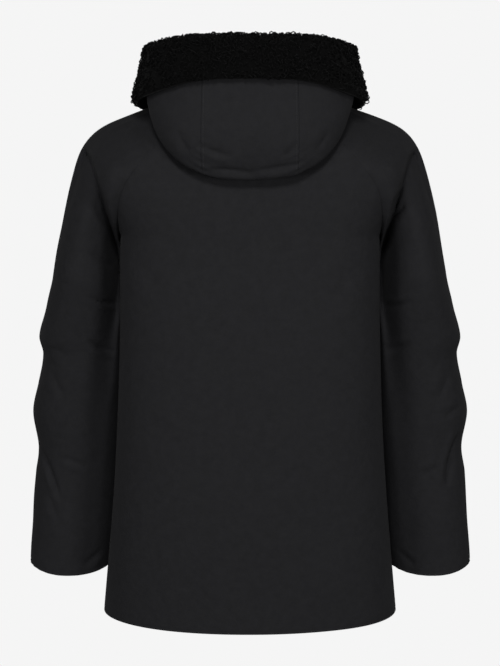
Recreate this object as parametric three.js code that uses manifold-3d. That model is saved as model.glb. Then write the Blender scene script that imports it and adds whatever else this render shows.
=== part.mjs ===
// A parka with its hood down, hollow and filled out as if worn.
// It has a fleece band round the hood and a front zip.
// Millimetres, +Z up. The front faces -Y and the wearer's left is +X.
// The origin is the middle of the neck, level with the shoulder points, where shoulders carry the parka.
import * as THREE from "three";
import Module from "manifold-3d";
import { mergeVertices } from "three/addons/utils/BufferGeometryUtils.js";

// Thicknesses and gaps
const CLOTH = 3;
const FLEECE = 9;
const TAPE = 1;
const SEAM_GAP = 0.35;

// Grid steps: columns across a panel, rows along it
const BACK_COLUMNS = 8;
const FRONT_COLUMNS = 6;
const HEM_ROWS = 9;
const RAGLAN_ROWS = 9;
const NECK_COLUMNS = 4;
const SHOULDER_ROWS = 8;
const ARM_ROWS = 15;
const HOOD_ROWS = 15;
const CENTRE_COLUMNS = 4;
const SEAM_SHARED_ROWS = 3;
const TRIM_COLUMNS = 36;
const TRIM_ROWS = 8;
const COLLAR_TAPE_ROWS = 12;

// Neck and zip
const ZIP_HALF_GAP = 7;
const TAPE_REACH = 22;
const TAPE_EDGE = 0.5;
const TAPE_DEPTH = CLOTH + SEAM_GAP + 0.5;
const HOOD_FRONT_ANGLE = 177;
const TRIM_END_ANGLE = 164;

const CLOTH_COLOUR = "#222224";
const FLEECE_COLOUR = "#0b0b0b";
const TAPE_COLOUR = "#18181a";
const METAL_COLOUR = "#3a3b3d";

// A table with named columns: each row of numbers becomes an object.
function table(names, rows) {
  const keys = names.split(" ");
  return rows.map((row) => Object.fromEntries(keys.map((key, k) => [key, row[k]])));
}

// Body panels, a row for each section: the panel's edge, its middle, how square its arc is
// and how much of the arc the row takes. Up to the underarm a row is level and ends at the side seam;
// above it the edge is the raglan seam.
const BACK_ROWS = table("edgeX edgeY edgeZ middleY middleZ square reach", [
  [219, 28, -732, 165, -732, 2.6, 1],
  [211, 28, -650, 164, -650, 2.7, 1],
  [202.5, 28, -550, 162, -550, 2.8, 1],
  [196.5, 28, -450, 159, -450, 2.9, 1],
  [193, 28, -350, 155, -350, 2.9, 1],
  [191.5, 28, -256, 149, -258, 3.0, 1],
  [190.5, 28, -180, 142, -188, 3.0, 1],
  [191, 56, -165, 141, -164, 3.0, 0.993],
  [191.5, 84, -143, 139, -138, 3.0, 0.97],
  [188, 105, -116, 136, -111, 2.9, 0.93],
  [177, 116, -90, 131, -83, 2.8, 0.88],
  [157, 119, -63, 124, -53, 2.6, 0.83],
  [132, 109, -33, 113, -21, 2.4, 0.79],
  [101, 85, 4, 96, 15, 2.2, 0.77],
  [70, 52, 46, 74, 50, 2.0, 0.76],
]);
const FRONT_ROWS = table("edgeX edgeY edgeZ middleY middleZ square reach", [
  [219, 28, -732, -160, -732, 2.3, 1],
  [211, 28, -650, -159, -650, 2.3, 1],
  [202.5, 28, -550, -157, -550, 2.3, 1],
  [196.5, 28, -450, -155, -450, 2.3, 1],
  [193, 28, -350, -152, -350, 2.3, 1],
  [191.5, 28, -256, -147, -262, 2.3, 1],
  [190.5, 28, -180, -139, -194, 2.3, 1],
  [188.5, -16, -170, -137, -176, 2.3, 0.993],
  [185, -58, -146, -133, -152, 2.3, 0.97],
  [177, -84, -116, -127, -127, 2.3, 0.93],
  [162, -97, -85, -119, -104, 2.2, 0.88],
  [142, -97, -57, -110, -83, 2.2, 0.84],
  [118, -87, -29, -100, -63, 2.1, 0.8],
  [92, -69, -3, -90, -45, 2.0, 0.78],
  [66, -48, 22, -80, -30, 2.0, 0.76],
]);
const UNDERARM_ROW = 6;
const SIDE_SEAM_Y = 28;

// The arm's level sections: its inner and outer edge as seen from behind, its middle and half depth.
const ARM_SECTIONS = table("z innerX outerX middleY halfDepth", [
  [-230, 190, 293, -14, 84],
  [-280, 189, 304, -25, 82],
  [-326, 189, 313.5, -34, 80],
  [-354, 189, 309.5, -38, 78],
  [-400, 190, 317, -42, 76],
  [-444, 192, 325, -44, 73],
  [-498, 195.5, 316.5, -44, 69],
  [-534, 198.5, 320, -43, 66],
  [-600, 204, 324, -40, 62],
  [-668, 210, 328, -36, 58],
]);
const ARM_SQUARE = 2.25;
const ARM_LEAN = -0.17;
const CUFF_DROP = 9;
// How the cloth leaves the armhole, round from the underarm over the back to the neck and down the front:
// the handle of its curve at the seam, how far the arm's own line reaches up, and the place round the arm.
const ARMHOLE_HANDLES = table("place outX outY outZ rise turn", [
  [0, 2, 0, -12, 16, 0],
  [0.125, 14, 10, -14, 30, 22],
  [0.25, 34, 12, -12, 52, 46],
  [0.375, 48, 4, -12, 78, 68],
  [0.5, 62, -2, -12, 100, 86],
  [0.625, 80, -8, -16, 122, 103],
  [0.75, 100, -12, -26, 146, 121],
  [0.875, 134, -10, -50, 176, 140],
  [1, 160, -6, -74, 198, 158],
  [1.5, 168, 0, -66, 205, 180],
  [2, 160, 6, -56, 198, 202],
  [2.125, 134, 12, -44, 176, 220],
  [2.25, 100, 14, -28, 146, 239],
  [2.375, 80, 10, -18, 122, 257],
  [2.5, 62, 4, -12, 100, 274],
  [2.625, 48, -4, -12, 78, 292],
  [2.75, 34, -10, -12, 52, 314],
  [2.875, 14, -10, -14, 30, 338],
  [3, 2, 0, -12, 16, 360],
]);

// The fold that runs from the shoulder point down to the underarm, on the back and on the front.
const ARM_FOLD = table("x z depth", [
  [252, -40, 2],
  [226, -69, 6],
  [217, -97, 8],
  [208, -129, 10],
  [200, -170, 9],
  [196, -215, 6],
]);
const FOLD_BODY_SIDE = 14;
const FOLD_ARM_SIDE = 32;
const FOLD_STARTS_BEHIND = 18;
const FOLD_FADES_ABOVE = 30;
const FOLD_FADES_BELOW = 60;
const PLAIN_RINGS_AT_SEAM = 2;

// Rings of the hood seen from above: half width, middle, depth to the back and to the front, and how square.
// Down is the ring's place from the neck to the fold and up its place from the fold to the rim;
// stand is its place on the collar at the front.
const LAY_RING = { width: 108, middle: 20, back: 98, front: 92, square: 2.4, down: 0.28, stand: 0.13 };
const HOLLOW_RING = { width: 136, middle: 36, back: 100, front: 100, square: 3.0, down: 0.8, stand: 0.27 };
const FOLD_RING = { width: 148, middle: 42, back: 110, front: 112, square: 3.2, stand: 0.4 };
const SWELL_RING = { width: 152, middle: 44, back: 126, front: 120, square: 3.0, up: 0.2, stand: 0.55 };
const UNDER_TRIM_RING = { width: 149, middle: 36, back: 131, front: 128, square: 2.8, up: 0.68, stand: 0.8 };
const RIM_RING = { width: 141, middle: 26, back: 134, front: 136, square: 2.6 };
const HOOD_BOTTOM = -86;
const HOOD_SIDE_RISE = 136;
const HOOD_SHOULDER_LIFT = 14;
const HOOD_SIDE_CURVE = 1.25;
const BACK_SEAM_ANGLE = 54;
const FRONT_SEAM_ANGLE = 118;
const BAG_ENDS = 84;
const COLLAR_STARTS = 128;

// The rim's height round the hood, how far the fleece hangs outside it and stands off it at its lower edge,
// and the tilt in degrees and length of its inner leg, which follows the hood's cloth.
const RIM_HEIGHTS = table("angle z hang flare tilt inside", [
  [0, 107, 51, 20, -4, 28],
  [30, 106, 53, 24, -4, 28],
  [60, 102, 66, 32, -6, 26],
  [90, 94, 72, 32, -12, 22],
  [105, 85, 70, 32, 16, 18],
  [120, 74, 66, 32, 48, 15],
  [150, 45, 58, 28, 42, 15],
  [180, 26, 56, 24, 30, 18],
]);

// The fleece band's outer face, in distances from the rim: inside the hood, at the turn,
// over the top and outside.
const TRIM_INSIDE = 16.5;
const TRIM_TURN = { out: 14, up: 5 };
const TRIM_TOP = { tilted: 4, up: 13 };
const TRIM_SHOULDER = { out: 13, up: 6 };
const TRIM_OUTSIDE = 18;

// Value of one column between the rows of a table, on a smooth curve, at a place counted in rows.
function between(rows, key, place) {
  const i = Math.min(Math.max(Math.floor(place), 0), rows.length - 2);
  const f = place - i;
  const at = (k) => rows[Math.min(Math.max(k, 0), rows.length - 1)][key];
  const [a, b, c, d] = [at(i - 1), at(i), at(i + 1), at(i + 2)];
  return 0.5 * (2 * b + (c - a) * f + (2 * a - 5 * b + 4 * c - d) * f * f + (3 * b - a - 3 * c + d) * f ** 3);
}

// Value of one column by another column's value, in straight steps.
function lookUp(rows, by, key, value) {
  const rising = rows[rows.length - 1][by] > rows[0][by];
  const sign = rising ? 1 : -1;
  let i = 0;
  while (i < rows.length - 2 && sign * rows[i + 1][by] < sign * value) i += 1;
  const f = (value - rows[i][by]) / (rows[i + 1][by] - rows[i][by]);
  return THREE.MathUtils.lerp(rows[i][key], rows[i + 1][key], THREE.MathUtils.clamp(f, 0, 1));
}

// Surface normals of a grid of points, from each point's neighbours.
// Columns run anticlockwise and rows upwards where the surface is seen from outside; a tube's columns close.
function normalsOf(grid, isTube = false) {
  const rows = grid.length;
  const columns = grid[0].length;
  const wrap = (j) => (isTube ? (j + columns) % columns : Math.min(Math.max(j, 0), columns - 1));
  return grid.map((line, i) =>
    line.map((_, j) => {
      const across = line[wrap(j + 1)].clone().sub(line[wrap(j - 1)]);
      const along = grid[Math.min(i + 1, rows - 1)][j].clone().sub(grid[Math.max(i - 1, 0)][j]);
      return across.cross(along).normalize();
    })
  );
}

// A closed wall over a grid of outer points, whose inner points lie one thickness in along the normals.
function wall(grid, thickness, normals, isTube = false) {
  const rows = grid.length;
  const columns = grid[0].length;
  const inner = grid.map((line, i) =>
    line.map((p, j) => p.clone().addScaledVector(normals[i][j], -thickness))
  );
  const corners = [];
  const quad = (a, b, c, d) => corners.push(a, b, c, a, c, d);
  for (let j = 0; j < (isTube ? columns : columns - 1); j++) {
    const k = (j + 1) % columns;
    for (let i = 0; i < rows - 1; i++) {
      quad(grid[i][j], grid[i][k], grid[i + 1][k], grid[i + 1][j]);
      quad(inner[i][j], inner[i + 1][j], inner[i + 1][k], inner[i][k]);
    }
    quad(inner[0][j], inner[0][k], grid[0][k], grid[0][j]);
    quad(grid[rows - 1][j], grid[rows - 1][k], inner[rows - 1][k], inner[rows - 1][j]);
  }
  for (let i = 0; i < rows - 1 && !isTube; i++) {
    const last = columns - 1;
    quad(grid[i][0], grid[i + 1][0], inner[i + 1][0], inner[i][0]);
    quad(inner[i][last], inner[i + 1][last], grid[i + 1][last], grid[i][last]);
  }
  return new THREE.BufferGeometry().setFromPoints(corners);
}

// The same grid on the wearer's other side, with its columns turned round so that it still faces out.
function mirrored(grid) {
  return grid.map((line) => line.map((p) => new THREE.Vector3(-p.x, p.y, p.z)).reverse());
}

// A point of a body panel: place counted in rows, and how far across, from 0 on the middle to 1 at the edge.
// The arc across is part of a superellipse, as much of it as the row's reach says.
function panelPoint(rows, place, across) {
  const at = (key) => between(rows, key, place);
  const edgeY = place > UNDERARM_ROW ? at("edgeY") : SIDE_SEAM_Y;
  const square = at("square");
  const reach = Math.min(at("reach"), 1);
  const fullness = (share) => Math.max(1 - share ** square, 0) ** (1 / square);
  const drop = (1 - fullness(across * reach)) / (1 - fullness(reach));
  return new THREE.Vector3(
    at("edgeX") * across,
    at("middleY") + (edgeY - at("middleY")) * drop,
    at("middleZ") + (at("edgeZ") - at("middleZ")) * across * across
  );
}

// The places in its table where a body panel has its rows: up to the underarm, and on up to the neck.
const hemPlaces = Array.from({ length: HEM_ROWS }, (_, i) => (UNDERARM_ROW * i) / HEM_ROWS);
const raglanPlaces = Array.from(
  { length: RAGLAN_ROWS + 1 },
  (_, i) => UNDERARM_ROW + ((BACK_ROWS.length - 1 - UNDERARM_ROW) * i) / RAGLAN_ROWS
);
const panelPlaces = [...hemPlaces, ...raglanPlaces];
const neckPlace = panelPlaces.at(-1);

// Shares across a panel, closer together towards its edge, where it turns round the side.
function shares(columns) {
  return Array.from({ length: columns + 1 }, (_, j) => Math.sin((j / columns) * (Math.PI / 2)));
}

const sideSeam = new THREE.Vector3(0, SEAM_GAP / 2, 0);

function backGrid() {
  const half = shares(BACK_COLUMNS);
  const whole = [...half.slice(1).reverse(), ...half.map((share) => -share)];
  return panelPlaces.map((place) =>
    whole.map((share) => {
      const point = panelPoint(BACK_ROWS, place, Math.abs(share));
      point.x *= Math.sign(share);
      return point.add(sideSeam);
    })
  );
}

// Normals of a body panel, turned straight out sideways along the side seams, where both panels meet.
function panelNormals(grid, columns) {
  const normals = normalsOf(grid);
  normals.slice(0, HEM_ROWS + 1).forEach((line) => {
    for (const j of columns) line[j].setY(0).normalize();
  });
  return normals;
}

// Shares across a front, from the zip's edge to the side seam.
function frontShares(place) {
  const first = ZIP_HALF_GAP / between(FRONT_ROWS, "edgeX", place);
  return shares(FRONT_COLUMNS).map((share) => first + (1 - first) * share);
}

function frontGrid() {
  return panelPlaces.map((place) =>
    frontShares(place).map((share) => panelPoint(FRONT_ROWS, place, share).sub(sideSeam))
  );
}

// The neck edge of the left half, from the middle of the back to the zip: back, sleeve and front in turn.
const NECK_SIDE = new THREE.Vector3(85, 2, 42);

function neckEdge() {
  const back = shares(BACK_COLUMNS).map((share) => panelPoint(BACK_ROWS, neckPlace, share));
  const front = frontShares(neckPlace)
    .map((share) => panelPoint(FRONT_ROWS, neckPlace, share))
    .reverse();
  const over = new THREE.CatmullRomCurve3([back[BACK_COLUMNS], NECK_SIDE, front[0]]).getPoints(NECK_COLUMNS);
  return { back, over, front };
}

// The armhole, round from the underarm up the back seam, over the neck edge and down the front seam.
// Each point has a place that counts 1 for each of the three stretches.
function armhole() {
  const { over } = neckEdge();
  const points = [];
  for (let i = 0; i < RAGLAN_ROWS; i++) {
    points.push({ place: i / RAGLAN_ROWS, point: panelPoint(BACK_ROWS, raglanPlaces[i], 1) });
  }
  for (let i = 0; i < NECK_COLUMNS; i++) points.push({ place: 1 + i / NECK_COLUMNS, point: over[i] });
  for (let i = RAGLAN_ROWS; i > 0; i--) {
    points.push({ place: 3 - i / RAGLAN_ROWS, point: panelPoint(FRONT_ROWS, raglanPlaces[i], 1) });
  }
  return points;
}

// A point of the arm's level section: turn 0 faces the body, 90 the back and 180 outwards.
function armPoint(z, turn) {
  const angle = THREE.MathUtils.degToRad(turn);
  const innerX = lookUp(ARM_SECTIONS, "z", "innerX", z);
  const outerX = lookUp(ARM_SECTIONS, "z", "outerX", z);
  const round = (value) => Math.sign(value) * Math.abs(value) ** (2 / ARM_SQUARE);
  const y = lookUp(ARM_SECTIONS, "z", "halfDepth", z) * round(Math.sin(angle));
  const cuffZ = ARM_SECTIONS[ARM_SECTIONS.length - 1].z;
  const tilt = (CUFF_DROP * z * Math.sin(angle)) / Math.abs(cuffZ);
  return new THREE.Vector3(
    (innerX + outerX) / 2 - ((outerX - innerX) / 2) * round(Math.cos(angle)),
    lookUp(ARM_SECTIONS, "z", "middleY", z) + y,
    z + tilt
  );
}

// How far the long fold at the armhole lies below the cloth round it:
// steep on the body's side, soft on the arm's.
function foldDepth(point) {
  const foldX = lookUp(ARM_FOLD, "z", "x", point.z);
  const off = point.x - foldX;
  const width = off < 0 ? FOLD_BODY_SIDE : FOLD_ARM_SIDE;
  const first = ARM_FOLD[0].z;
  const last = ARM_FOLD[ARM_FOLD.length - 1].z;
  const begins = THREE.MathUtils.smoothstep(-point.z, -first - FOLD_FADES_ABOVE, -first);
  const ends = 1 - THREE.MathUtils.smoothstep(-point.z, -last, -last + FOLD_FADES_BELOW);
  const behind = THREE.MathUtils.smoothstep(Math.abs(point.y), FOLD_STARTS_BEHIND, 3 * FOLD_STARTS_BEHIND);
  const across = Math.exp(-((off / width) ** 2));
  return lookUp(ARM_FOLD, "z", "depth", point.z) * across * begins * ends * behind;
}

function sleeveGrid() {
  const ring = armhole();
  const top = ARM_SECTIONS[0].z;
  const cuff = ARM_SECTIONS[ARM_SECTIONS.length - 1].z;
  const meridians = ring.map(({ place, point }, j) => {
    const handle = (key) => lookUp(ARMHOLE_HANDLES, "place", key, place);
    const out = new THREE.Vector3(handle("outX"), handle("outY"), handle("outZ"));
    const [before, after] = [ring.at(j - 1), ring[(j + 1) % ring.length]];
    const start = offSeam(point, before.point, after.point, point.clone().add(out));
    const end = armPoint(top, handle("turn"));
    const up = new THREE.Vector3(ARM_LEAN, 0, 1).multiplyScalar(handle("rise"));
    const curve = new THREE.CubicBezierCurve3(start, start.clone().add(out), end.clone().add(up), end);
    const upper = curve.getPoints(SHOULDER_ROWS).slice(0, -1);
    const lower = Array.from({ length: ARM_ROWS + 1 }, (_, i) =>
      armPoint(top + ((cuff - top) * i) / ARM_ROWS, handle("turn"))
    );
    return [...upper, ...lower];
  });
  const grid = meridians[0].map((_, i) => meridians.map((meridian) => meridian[i]));
  return grid.map((line, i) => line.map((point) => pressedIn(point, grid, i)));
}

// A sleeve point moved towards the middle of its own ring by the depth of the fold there.
function pressedIn(point, grid, i) {
  const depth = i < PLAIN_RINGS_AT_SEAM ? 0 : foldDepth(point);
  return new THREE.Vector3(point.x, point.y - Math.sign(point.y) * depth, point.z);
}

// A seam point moved one gap off the seam, square to it, towards a point of the next row or column.
function offSeam(point, before, after, towards) {
  const alongSeam = after.clone().sub(before).normalize();
  const away = towards.clone().sub(point);
  away.addScaledVector(alongSeam, -away.dot(alongSeam)).normalize();
  return point.clone().addScaledVector(away, SEAM_GAP);
}

// The sleeve's normals take those of the panels along the raglan seams,
// so that both edges stand parallel there.
function sleeveNormals(grid, back, front) {
  const normals = normalsOf(grid, true);
  for (let i = SEAM_SHARED_ROWS; i <= RAGLAN_ROWS; i++) {
    const share = THREE.MathUtils.smoothstep(i, SEAM_SHARED_ROWS - 1, SEAM_SHARED_ROWS + 2);
    const onBack = back[HEM_ROWS + i][0];
    const onFront = front[HEM_ROWS + i][FRONT_COLUMNS];
    normals[0][i].lerp(onBack, share).normalize();
    normals[0][2 * RAGLAN_ROWS + NECK_COLUMNS - i].lerp(onFront, share).normalize();
  }
  return normals;
}

// A point of a hood ring seen from above, at an angle from the middle of the back.
function ringPoint(ring, angle, z) {
  const turn = THREE.MathUtils.degToRad(angle);
  const share = Math.abs(Math.sin(turn));
  const depth = Math.max(1 - share ** ring.square, 0) ** (1 / ring.square);
  const y = ring.middle + (angle < 90 ? ring.back : -ring.front) * depth;
  return new THREE.Vector3(ring.width * Math.sin(turn), y, z);
}

function rim(angle) {
  return ringPoint(RIM_RING, angle, lookUp(RIM_HEIGHTS, "angle", "z", angle));
}

// The hood from its neck edge over the fold at its lower end and up to the rim, at one angle round the neck.
// Towards the front it passes into a plain standing collar.
function hoodProfile(neck, angle) {
  const bag = 1 - THREE.MathUtils.smoothstep(angle, BAG_ENDS, COLLAR_STARTS);
  const turn = THREE.MathUtils.degToRad(angle);
  const side = 1 - Math.abs(Math.cos(turn));
  const lift = HOOD_SHOULDER_LIFT * Math.sin(turn) ** 2;
  const low = HOOD_BOTTOM + HOOD_SIDE_RISE * side ** HOOD_SIDE_CURVE;
  const top = rim(angle);
  const mix = (ring, height) => neck.clone().lerp(top, ring.stand).lerp(ringPoint(ring, angle, height), bag);
  const falling = (ring) => mix(ring, THREE.MathUtils.lerp(neck.z, low, ring.down) + lift);
  const rising = (ring) => mix(ring, THREE.MathUtils.lerp(low, top.z, ring.up));
  return new THREE.CatmullRomCurve3([
    neck,
    falling(LAY_RING),
    falling(HOLLOW_RING),
    mix(FOLD_RING, low),
    rising(SWELL_RING),
    rising(UNDER_TRIM_RING),
    top,
  ]);
}

// The hood's columns from the middle of the back to the zip, each with its neck point and its angle.
function hoodColumns() {
  const { back, over, front } = neckEdge();
  const neck = [...back.slice(0, -1), ...over, ...front.slice(1)];
  const lift = new THREE.Vector3(0, 0, SEAM_GAP);
  const backEnd = BACK_COLUMNS;
  const overEnd = BACK_COLUMNS + NECK_COLUMNS;
  return neck.map((point, j) => {
    let angle = (BACK_SEAM_ANGLE * j) / backEnd;
    if (j > backEnd) {
      angle = BACK_SEAM_ANGLE + ((FRONT_SEAM_ANGLE - BACK_SEAM_ANGLE) * (j - backEnd)) / NECK_COLUMNS;
    }
    if (j > overEnd) {
      angle = FRONT_SEAM_ANGLE + ((HOOD_FRONT_ANGLE - FRONT_SEAM_ANGLE) * (j - overEnd)) / FRONT_COLUMNS;
    }
    return { neck: point.clone().add(lift), angle };
  });
}

function hoodLine({ neck, angle }) {
  return hoodProfile(neck, angle).getPoints(HOOD_ROWS);
}

// Columns of points turned into rows of points.
function turned(columns) {
  return columns[0].map((_, i) => columns.map((column) => column[i]));
}

function hoodCentreGrid() {
  const half = hoodColumns().slice(0, CENTRE_COLUMNS + 1).map(hoodLine);
  const other = half.slice(1).map((column) => column.map((p) => new THREE.Vector3(-p.x, p.y, p.z)));
  return turned([...half.slice().reverse(), ...other]);
}

function hoodSideGrid() {
  const columns = hoodColumns().slice(CENTRE_COLUMNS).map(hoodLine);
  const seam = columns[0];
  columns[0] = seam.map((point, i) =>
    offSeam(point, seam[Math.max(i - 1, 0)], seam[Math.min(i + 1, HOOD_ROWS)], columns[1][i])
  );
  return turned(columns.reverse());
}

// The fleece band is folded over the hood's rim: up from inside, over the top and down outside.
function trimGrid() {
  const columns = Array.from({ length: TRIM_COLUMNS + 1 }, (_, j) => {
    const angle = TRIM_END_ANGLE * ((2 * j) / TRIM_COLUMNS - 1);
    const side = Math.sign(angle) || 1;
    const round = Math.abs(angle);
    const middle = rim(round);
    const out = rim(Math.min(round + 1, 179)).sub(rim(Math.max(round - 1, 0)));
    const outward = new THREE.Vector3(-out.y, out.x, 0).normalize();
    const hang = lookUp(RIM_HEIGHTS, "angle", "hang", round);
    const flare = lookUp(RIM_HEIGHTS, "angle", "flare", round);
    const inside = lookUp(RIM_HEIGHTS, "angle", "inside", round);
    const tilt = THREE.MathUtils.degToRad(lookUp(RIM_HEIGHTS, "angle", "tilt", round));
    const leg = (down, off) => [
      -down * Math.sin(tilt) - off * Math.cos(tilt),
      -down * Math.cos(tilt) + off * Math.sin(tilt),
    ];
    const profile = new THREE.CatmullRomCurve3(
      table("outside up", [
        leg(inside, TRIM_INSIDE),
        leg(0.35 * inside, TRIM_INSIDE),
        leg(-TRIM_TURN.up, TRIM_TURN.out),
        [-TRIM_TOP.tilted * Math.sin(tilt), TRIM_TOP.up],
        [TRIM_SHOULDER.out, TRIM_SHOULDER.up],
        [TRIM_OUTSIDE, -0.25 * hang],
        [(TRIM_OUTSIDE + flare) / 2, -0.6 * hang],
        [flare, -hang],
      ]).map(({ outside, up }) => middle.clone().addScaledVector(outward, outside).setZ(middle.z + up))
    );
    return profile.getPoints(TRIM_ROWS).map((p) => new THREE.Vector3(side * p.x, p.y, p.z));
  });
  return turned(columns);
}

// A front's surface near the zip: a row of three points for each row of the front and of the collar above it.
function zipEdgeGrid() {
  const across = [TAPE_EDGE, ZIP_HALF_GAP, TAPE_REACH];
  const body = panelPlaces.map((place) =>
    across.map((x) => panelPoint(FRONT_ROWS, place, x / between(FRONT_ROWS, "edgeX", place)).setX(x))
  );
  const [beside, edge] = hoodColumns().slice(-2).map(hoodLine);
  const collar = Array.from({ length: COLLAR_TAPE_ROWS }, (_, i) => i + 1).map((i) =>
    across.map((x) => edge[i].clone().lerp(beside[i], (x - edge[i].x) / (beside[i].x - edge[i].x)).setX(x))
  );
  return [...body, ...collar];
}

// A zip tape lies inside its front, one gap behind the cloth.
function tapeGrid() {
  const grid = zipEdgeGrid();
  const last = grid.length - 1;
  return grid.map((line, i) => {
    const from = grid[Math.min(i, last - 1) + 1][0].clone().sub(grid[Math.min(i, last - 1)][0]).normalize();
    const to = grid[Math.max(i, 1)][0].clone().sub(grid[Math.max(i, 1) - 1][0]).normalize();
    const along = from.clone().add(to).normalize();
    const inward = new THREE.Vector3(0, along.z, -along.y);
    const depth = TAPE_DEPTH / Math.cos(from.angleTo(to) / 2);
    return line.map((point) => point.clone().addScaledVector(inward, depth));
  });
}

// Slider and pull tab
const SLIDER = { width: 10, length: 14, height: 4.5, bevel: 0.4, corner: 3 };
const BRIDGE = { width: 3, halfLength: 5, foot: 1, shoulder: 2, pivotHeight: 5, hole: 1.9, round: 3.4 };
const PULL = { width: 9, length: 40, thickness: 2, window: 4.6, windowLength: 7.5, bar: 2, grip: 1.6 };
const ROUND_STEPS = 8;

// A closed mesh as a solid whose shared corners are merged.
const wasm = await Module();
wasm.setup();

function solidOf(geometry) {
  const bare = geometry.clone();
  bare.deleteAttribute("normal");
  bare.deleteAttribute("uv");
  const merged = mergeVertices(bare.index ? bare.toNonIndexed() : bare, 1e-4);
  return new wasm.Manifold(
    new wasm.Mesh({
      numProp: 3,
      vertProperties: merged.attributes.position.array,
      triVerts: new Uint32Array(merged.index.array),
    })
  );
}

function geometryOf(solid) {
  const { vertProperties, triVerts, numProp } = solid.getMesh();
  const corners = Array.from(triVerts, (v) => new THREE.Vector3().fromArray(vertProperties, v * numProp));
  return new THREE.BufferGeometry().setFromPoints(corners);
}

// The slider's own frame: X across, -Y outwards from the cloth and Z along the zip. Its foot is at Y 0.
function sliderGeometry() {
  const { width, length, height, bevel, corner } = SLIDER;
  const outline = new THREE.Shape();
  outline.moveTo(-width / 2, corner - length / 2);
  outline.lineTo(corner - width / 2, -length / 2);
  outline.lineTo(width / 2 - corner, -length / 2);
  outline.lineTo(width / 2, corner - length / 2);
  outline.lineTo(width / 2, length / 2 - corner);
  outline.quadraticCurveTo(width / 2, length / 2, 0, length / 2);
  outline.quadraticCurveTo(-width / 2, length / 2, -width / 2, length / 2 - corner);
  outline.closePath();
  const plate = new THREE.ExtrudeGeometry(outline, {
    depth: height - 2 * bevel,
    bevelThickness: bevel,
    bevelSize: bevel,
    bevelSegments: 1,
    curveSegments: 4,
  });
  plate.rotateX(Math.PI / 2).translate(0, -bevel, 0);
  const { halfLength, foot, shoulder, pivotHeight, round, hole } = BRIDGE;
  const arch = new THREE.Shape();
  arch.moveTo(-halfLength, -foot);
  arch.lineTo(halfLength, -foot);
  arch.lineTo(halfLength, shoulder);
  arch.lineTo(round, pivotHeight);
  arch.absarc(0, pivotHeight, round, 0, Math.PI, false);
  arch.lineTo(-halfLength, shoulder);
  arch.closePath();
  arch.holes.push(new THREE.Path().absarc(0, pivotHeight, hole, 0, 2 * Math.PI, true));
  const bridge = new THREE.ExtrudeGeometry(arch, {
    depth: BRIDGE.width,
    bevelEnabled: false,
    curveSegments: ROUND_STEPS,
  });
  bridge.translate(0, 0, -BRIDGE.width / 2).rotateY(Math.PI / 2).rotateX(Math.PI).translate(0, -height, 0);
  return geometryOf(solidOf(plate).add(solidOf(bridge)));
}

// The pull tab hangs straight down from its bar, which lies across the origin and passes through the bridge.
function pullGeometry() {
  const { width, length, thickness, window, windowLength, bar, grip } = PULL;
  const outline = new THREE.Shape();
  const low = bar / 2 - length;
  outline.moveTo(-width / 2, bar / 2);
  outline.lineTo(-width / 2, low + width / 2);
  outline.absarc(0, low + width / 2, width / 2, Math.PI, 2 * Math.PI, false);
  outline.lineTo(width / 2, bar / 2);
  outline.closePath();
  const opening = new THREE.Path();
  opening.moveTo(-window / 2, -bar / 2);
  opening.lineTo(window / 2, -bar / 2);
  opening.lineTo(window / 2, -bar / 2 - windowLength);
  opening.lineTo(-window / 2, -bar / 2 - windowLength);
  opening.closePath();
  outline.holes.push(opening, new THREE.Path().absarc(0, low + width / 2, grip, 0, 2 * Math.PI, true));
  const tab = new THREE.ExtrudeGeometry(outline, {
    depth: thickness,
    bevelEnabled: false,
    curveSegments: ROUND_STEPS,
  });
  return tab.translate(0, 0, -thickness / 2).rotateX(Math.PI / 2);
}

const cloth = new THREE.MeshStandardMaterial({ name: "shell cloth", color: CLOTH_COLOUR, roughness: 0.8 });
const fleece = new THREE.MeshStandardMaterial({ name: "fleece", color: FLEECE_COLOUR, roughness: 1 });
const tapeWeave = new THREE.MeshStandardMaterial({ name: "zip tape", color: TAPE_COLOUR, roughness: 0.9 });
const metal = new THREE.MeshStandardMaterial({
  name: "painted zinc",
  color: METAL_COLOUR,
  roughness: 0.4,
  metalness: 0.8,
});

const parka = new THREE.Group();

function addPiece(name, geometry, material, parent = parka) {
  const mesh = new THREE.Mesh(geometry, material);
  mesh.name = name;
  parent.add(mesh);
  return mesh;
}

// A wall on the wearer's left and its mirror image on the right.
function addPair(name, grid, normals, thickness, material, isTube = false) {
  addPiece(name + "_left", wall(grid, thickness, normals, isTube), material);
  addPiece(name + "_right", wall(mirrored(grid), thickness, mirrored(normals), isTube), material);
}

const back = backGrid();
const backNormals = panelNormals(back, [0, 2 * BACK_COLUMNS]);
addPiece("back", wall(back, CLOTH, backNormals), cloth);
const front = frontGrid();
const frontNormals = panelNormals(front, [FRONT_COLUMNS]);
addPair("front", front, frontNormals, CLOTH, cloth);
const sleeve = sleeveGrid();
addPair("sleeve", sleeve, sleeveNormals(sleeve, backNormals, frontNormals), CLOTH, cloth, true);
const hoodCentre = hoodCentreGrid();
const centreNormals = normalsOf(hoodCentre);
addPiece("hood_centre", wall(hoodCentre, CLOTH, centreNormals), cloth);
const hoodSide = hoodSideGrid();
const sideNormals = normalsOf(hoodSide);
sideNormals.forEach((line, i) => line.at(-1).copy(centreNormals[i][0]));
addPair("hood_side", hoodSide, sideNormals, CLOTH, cloth);
const trim = trimGrid();
addPiece("hood_trim", wall(trim, FLEECE, normalsOf(trim)), fleece);
const tape = tapeGrid();
addPair("zip_tape", tape, normalsOf(tape), TAPE, tapeWeave);

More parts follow.
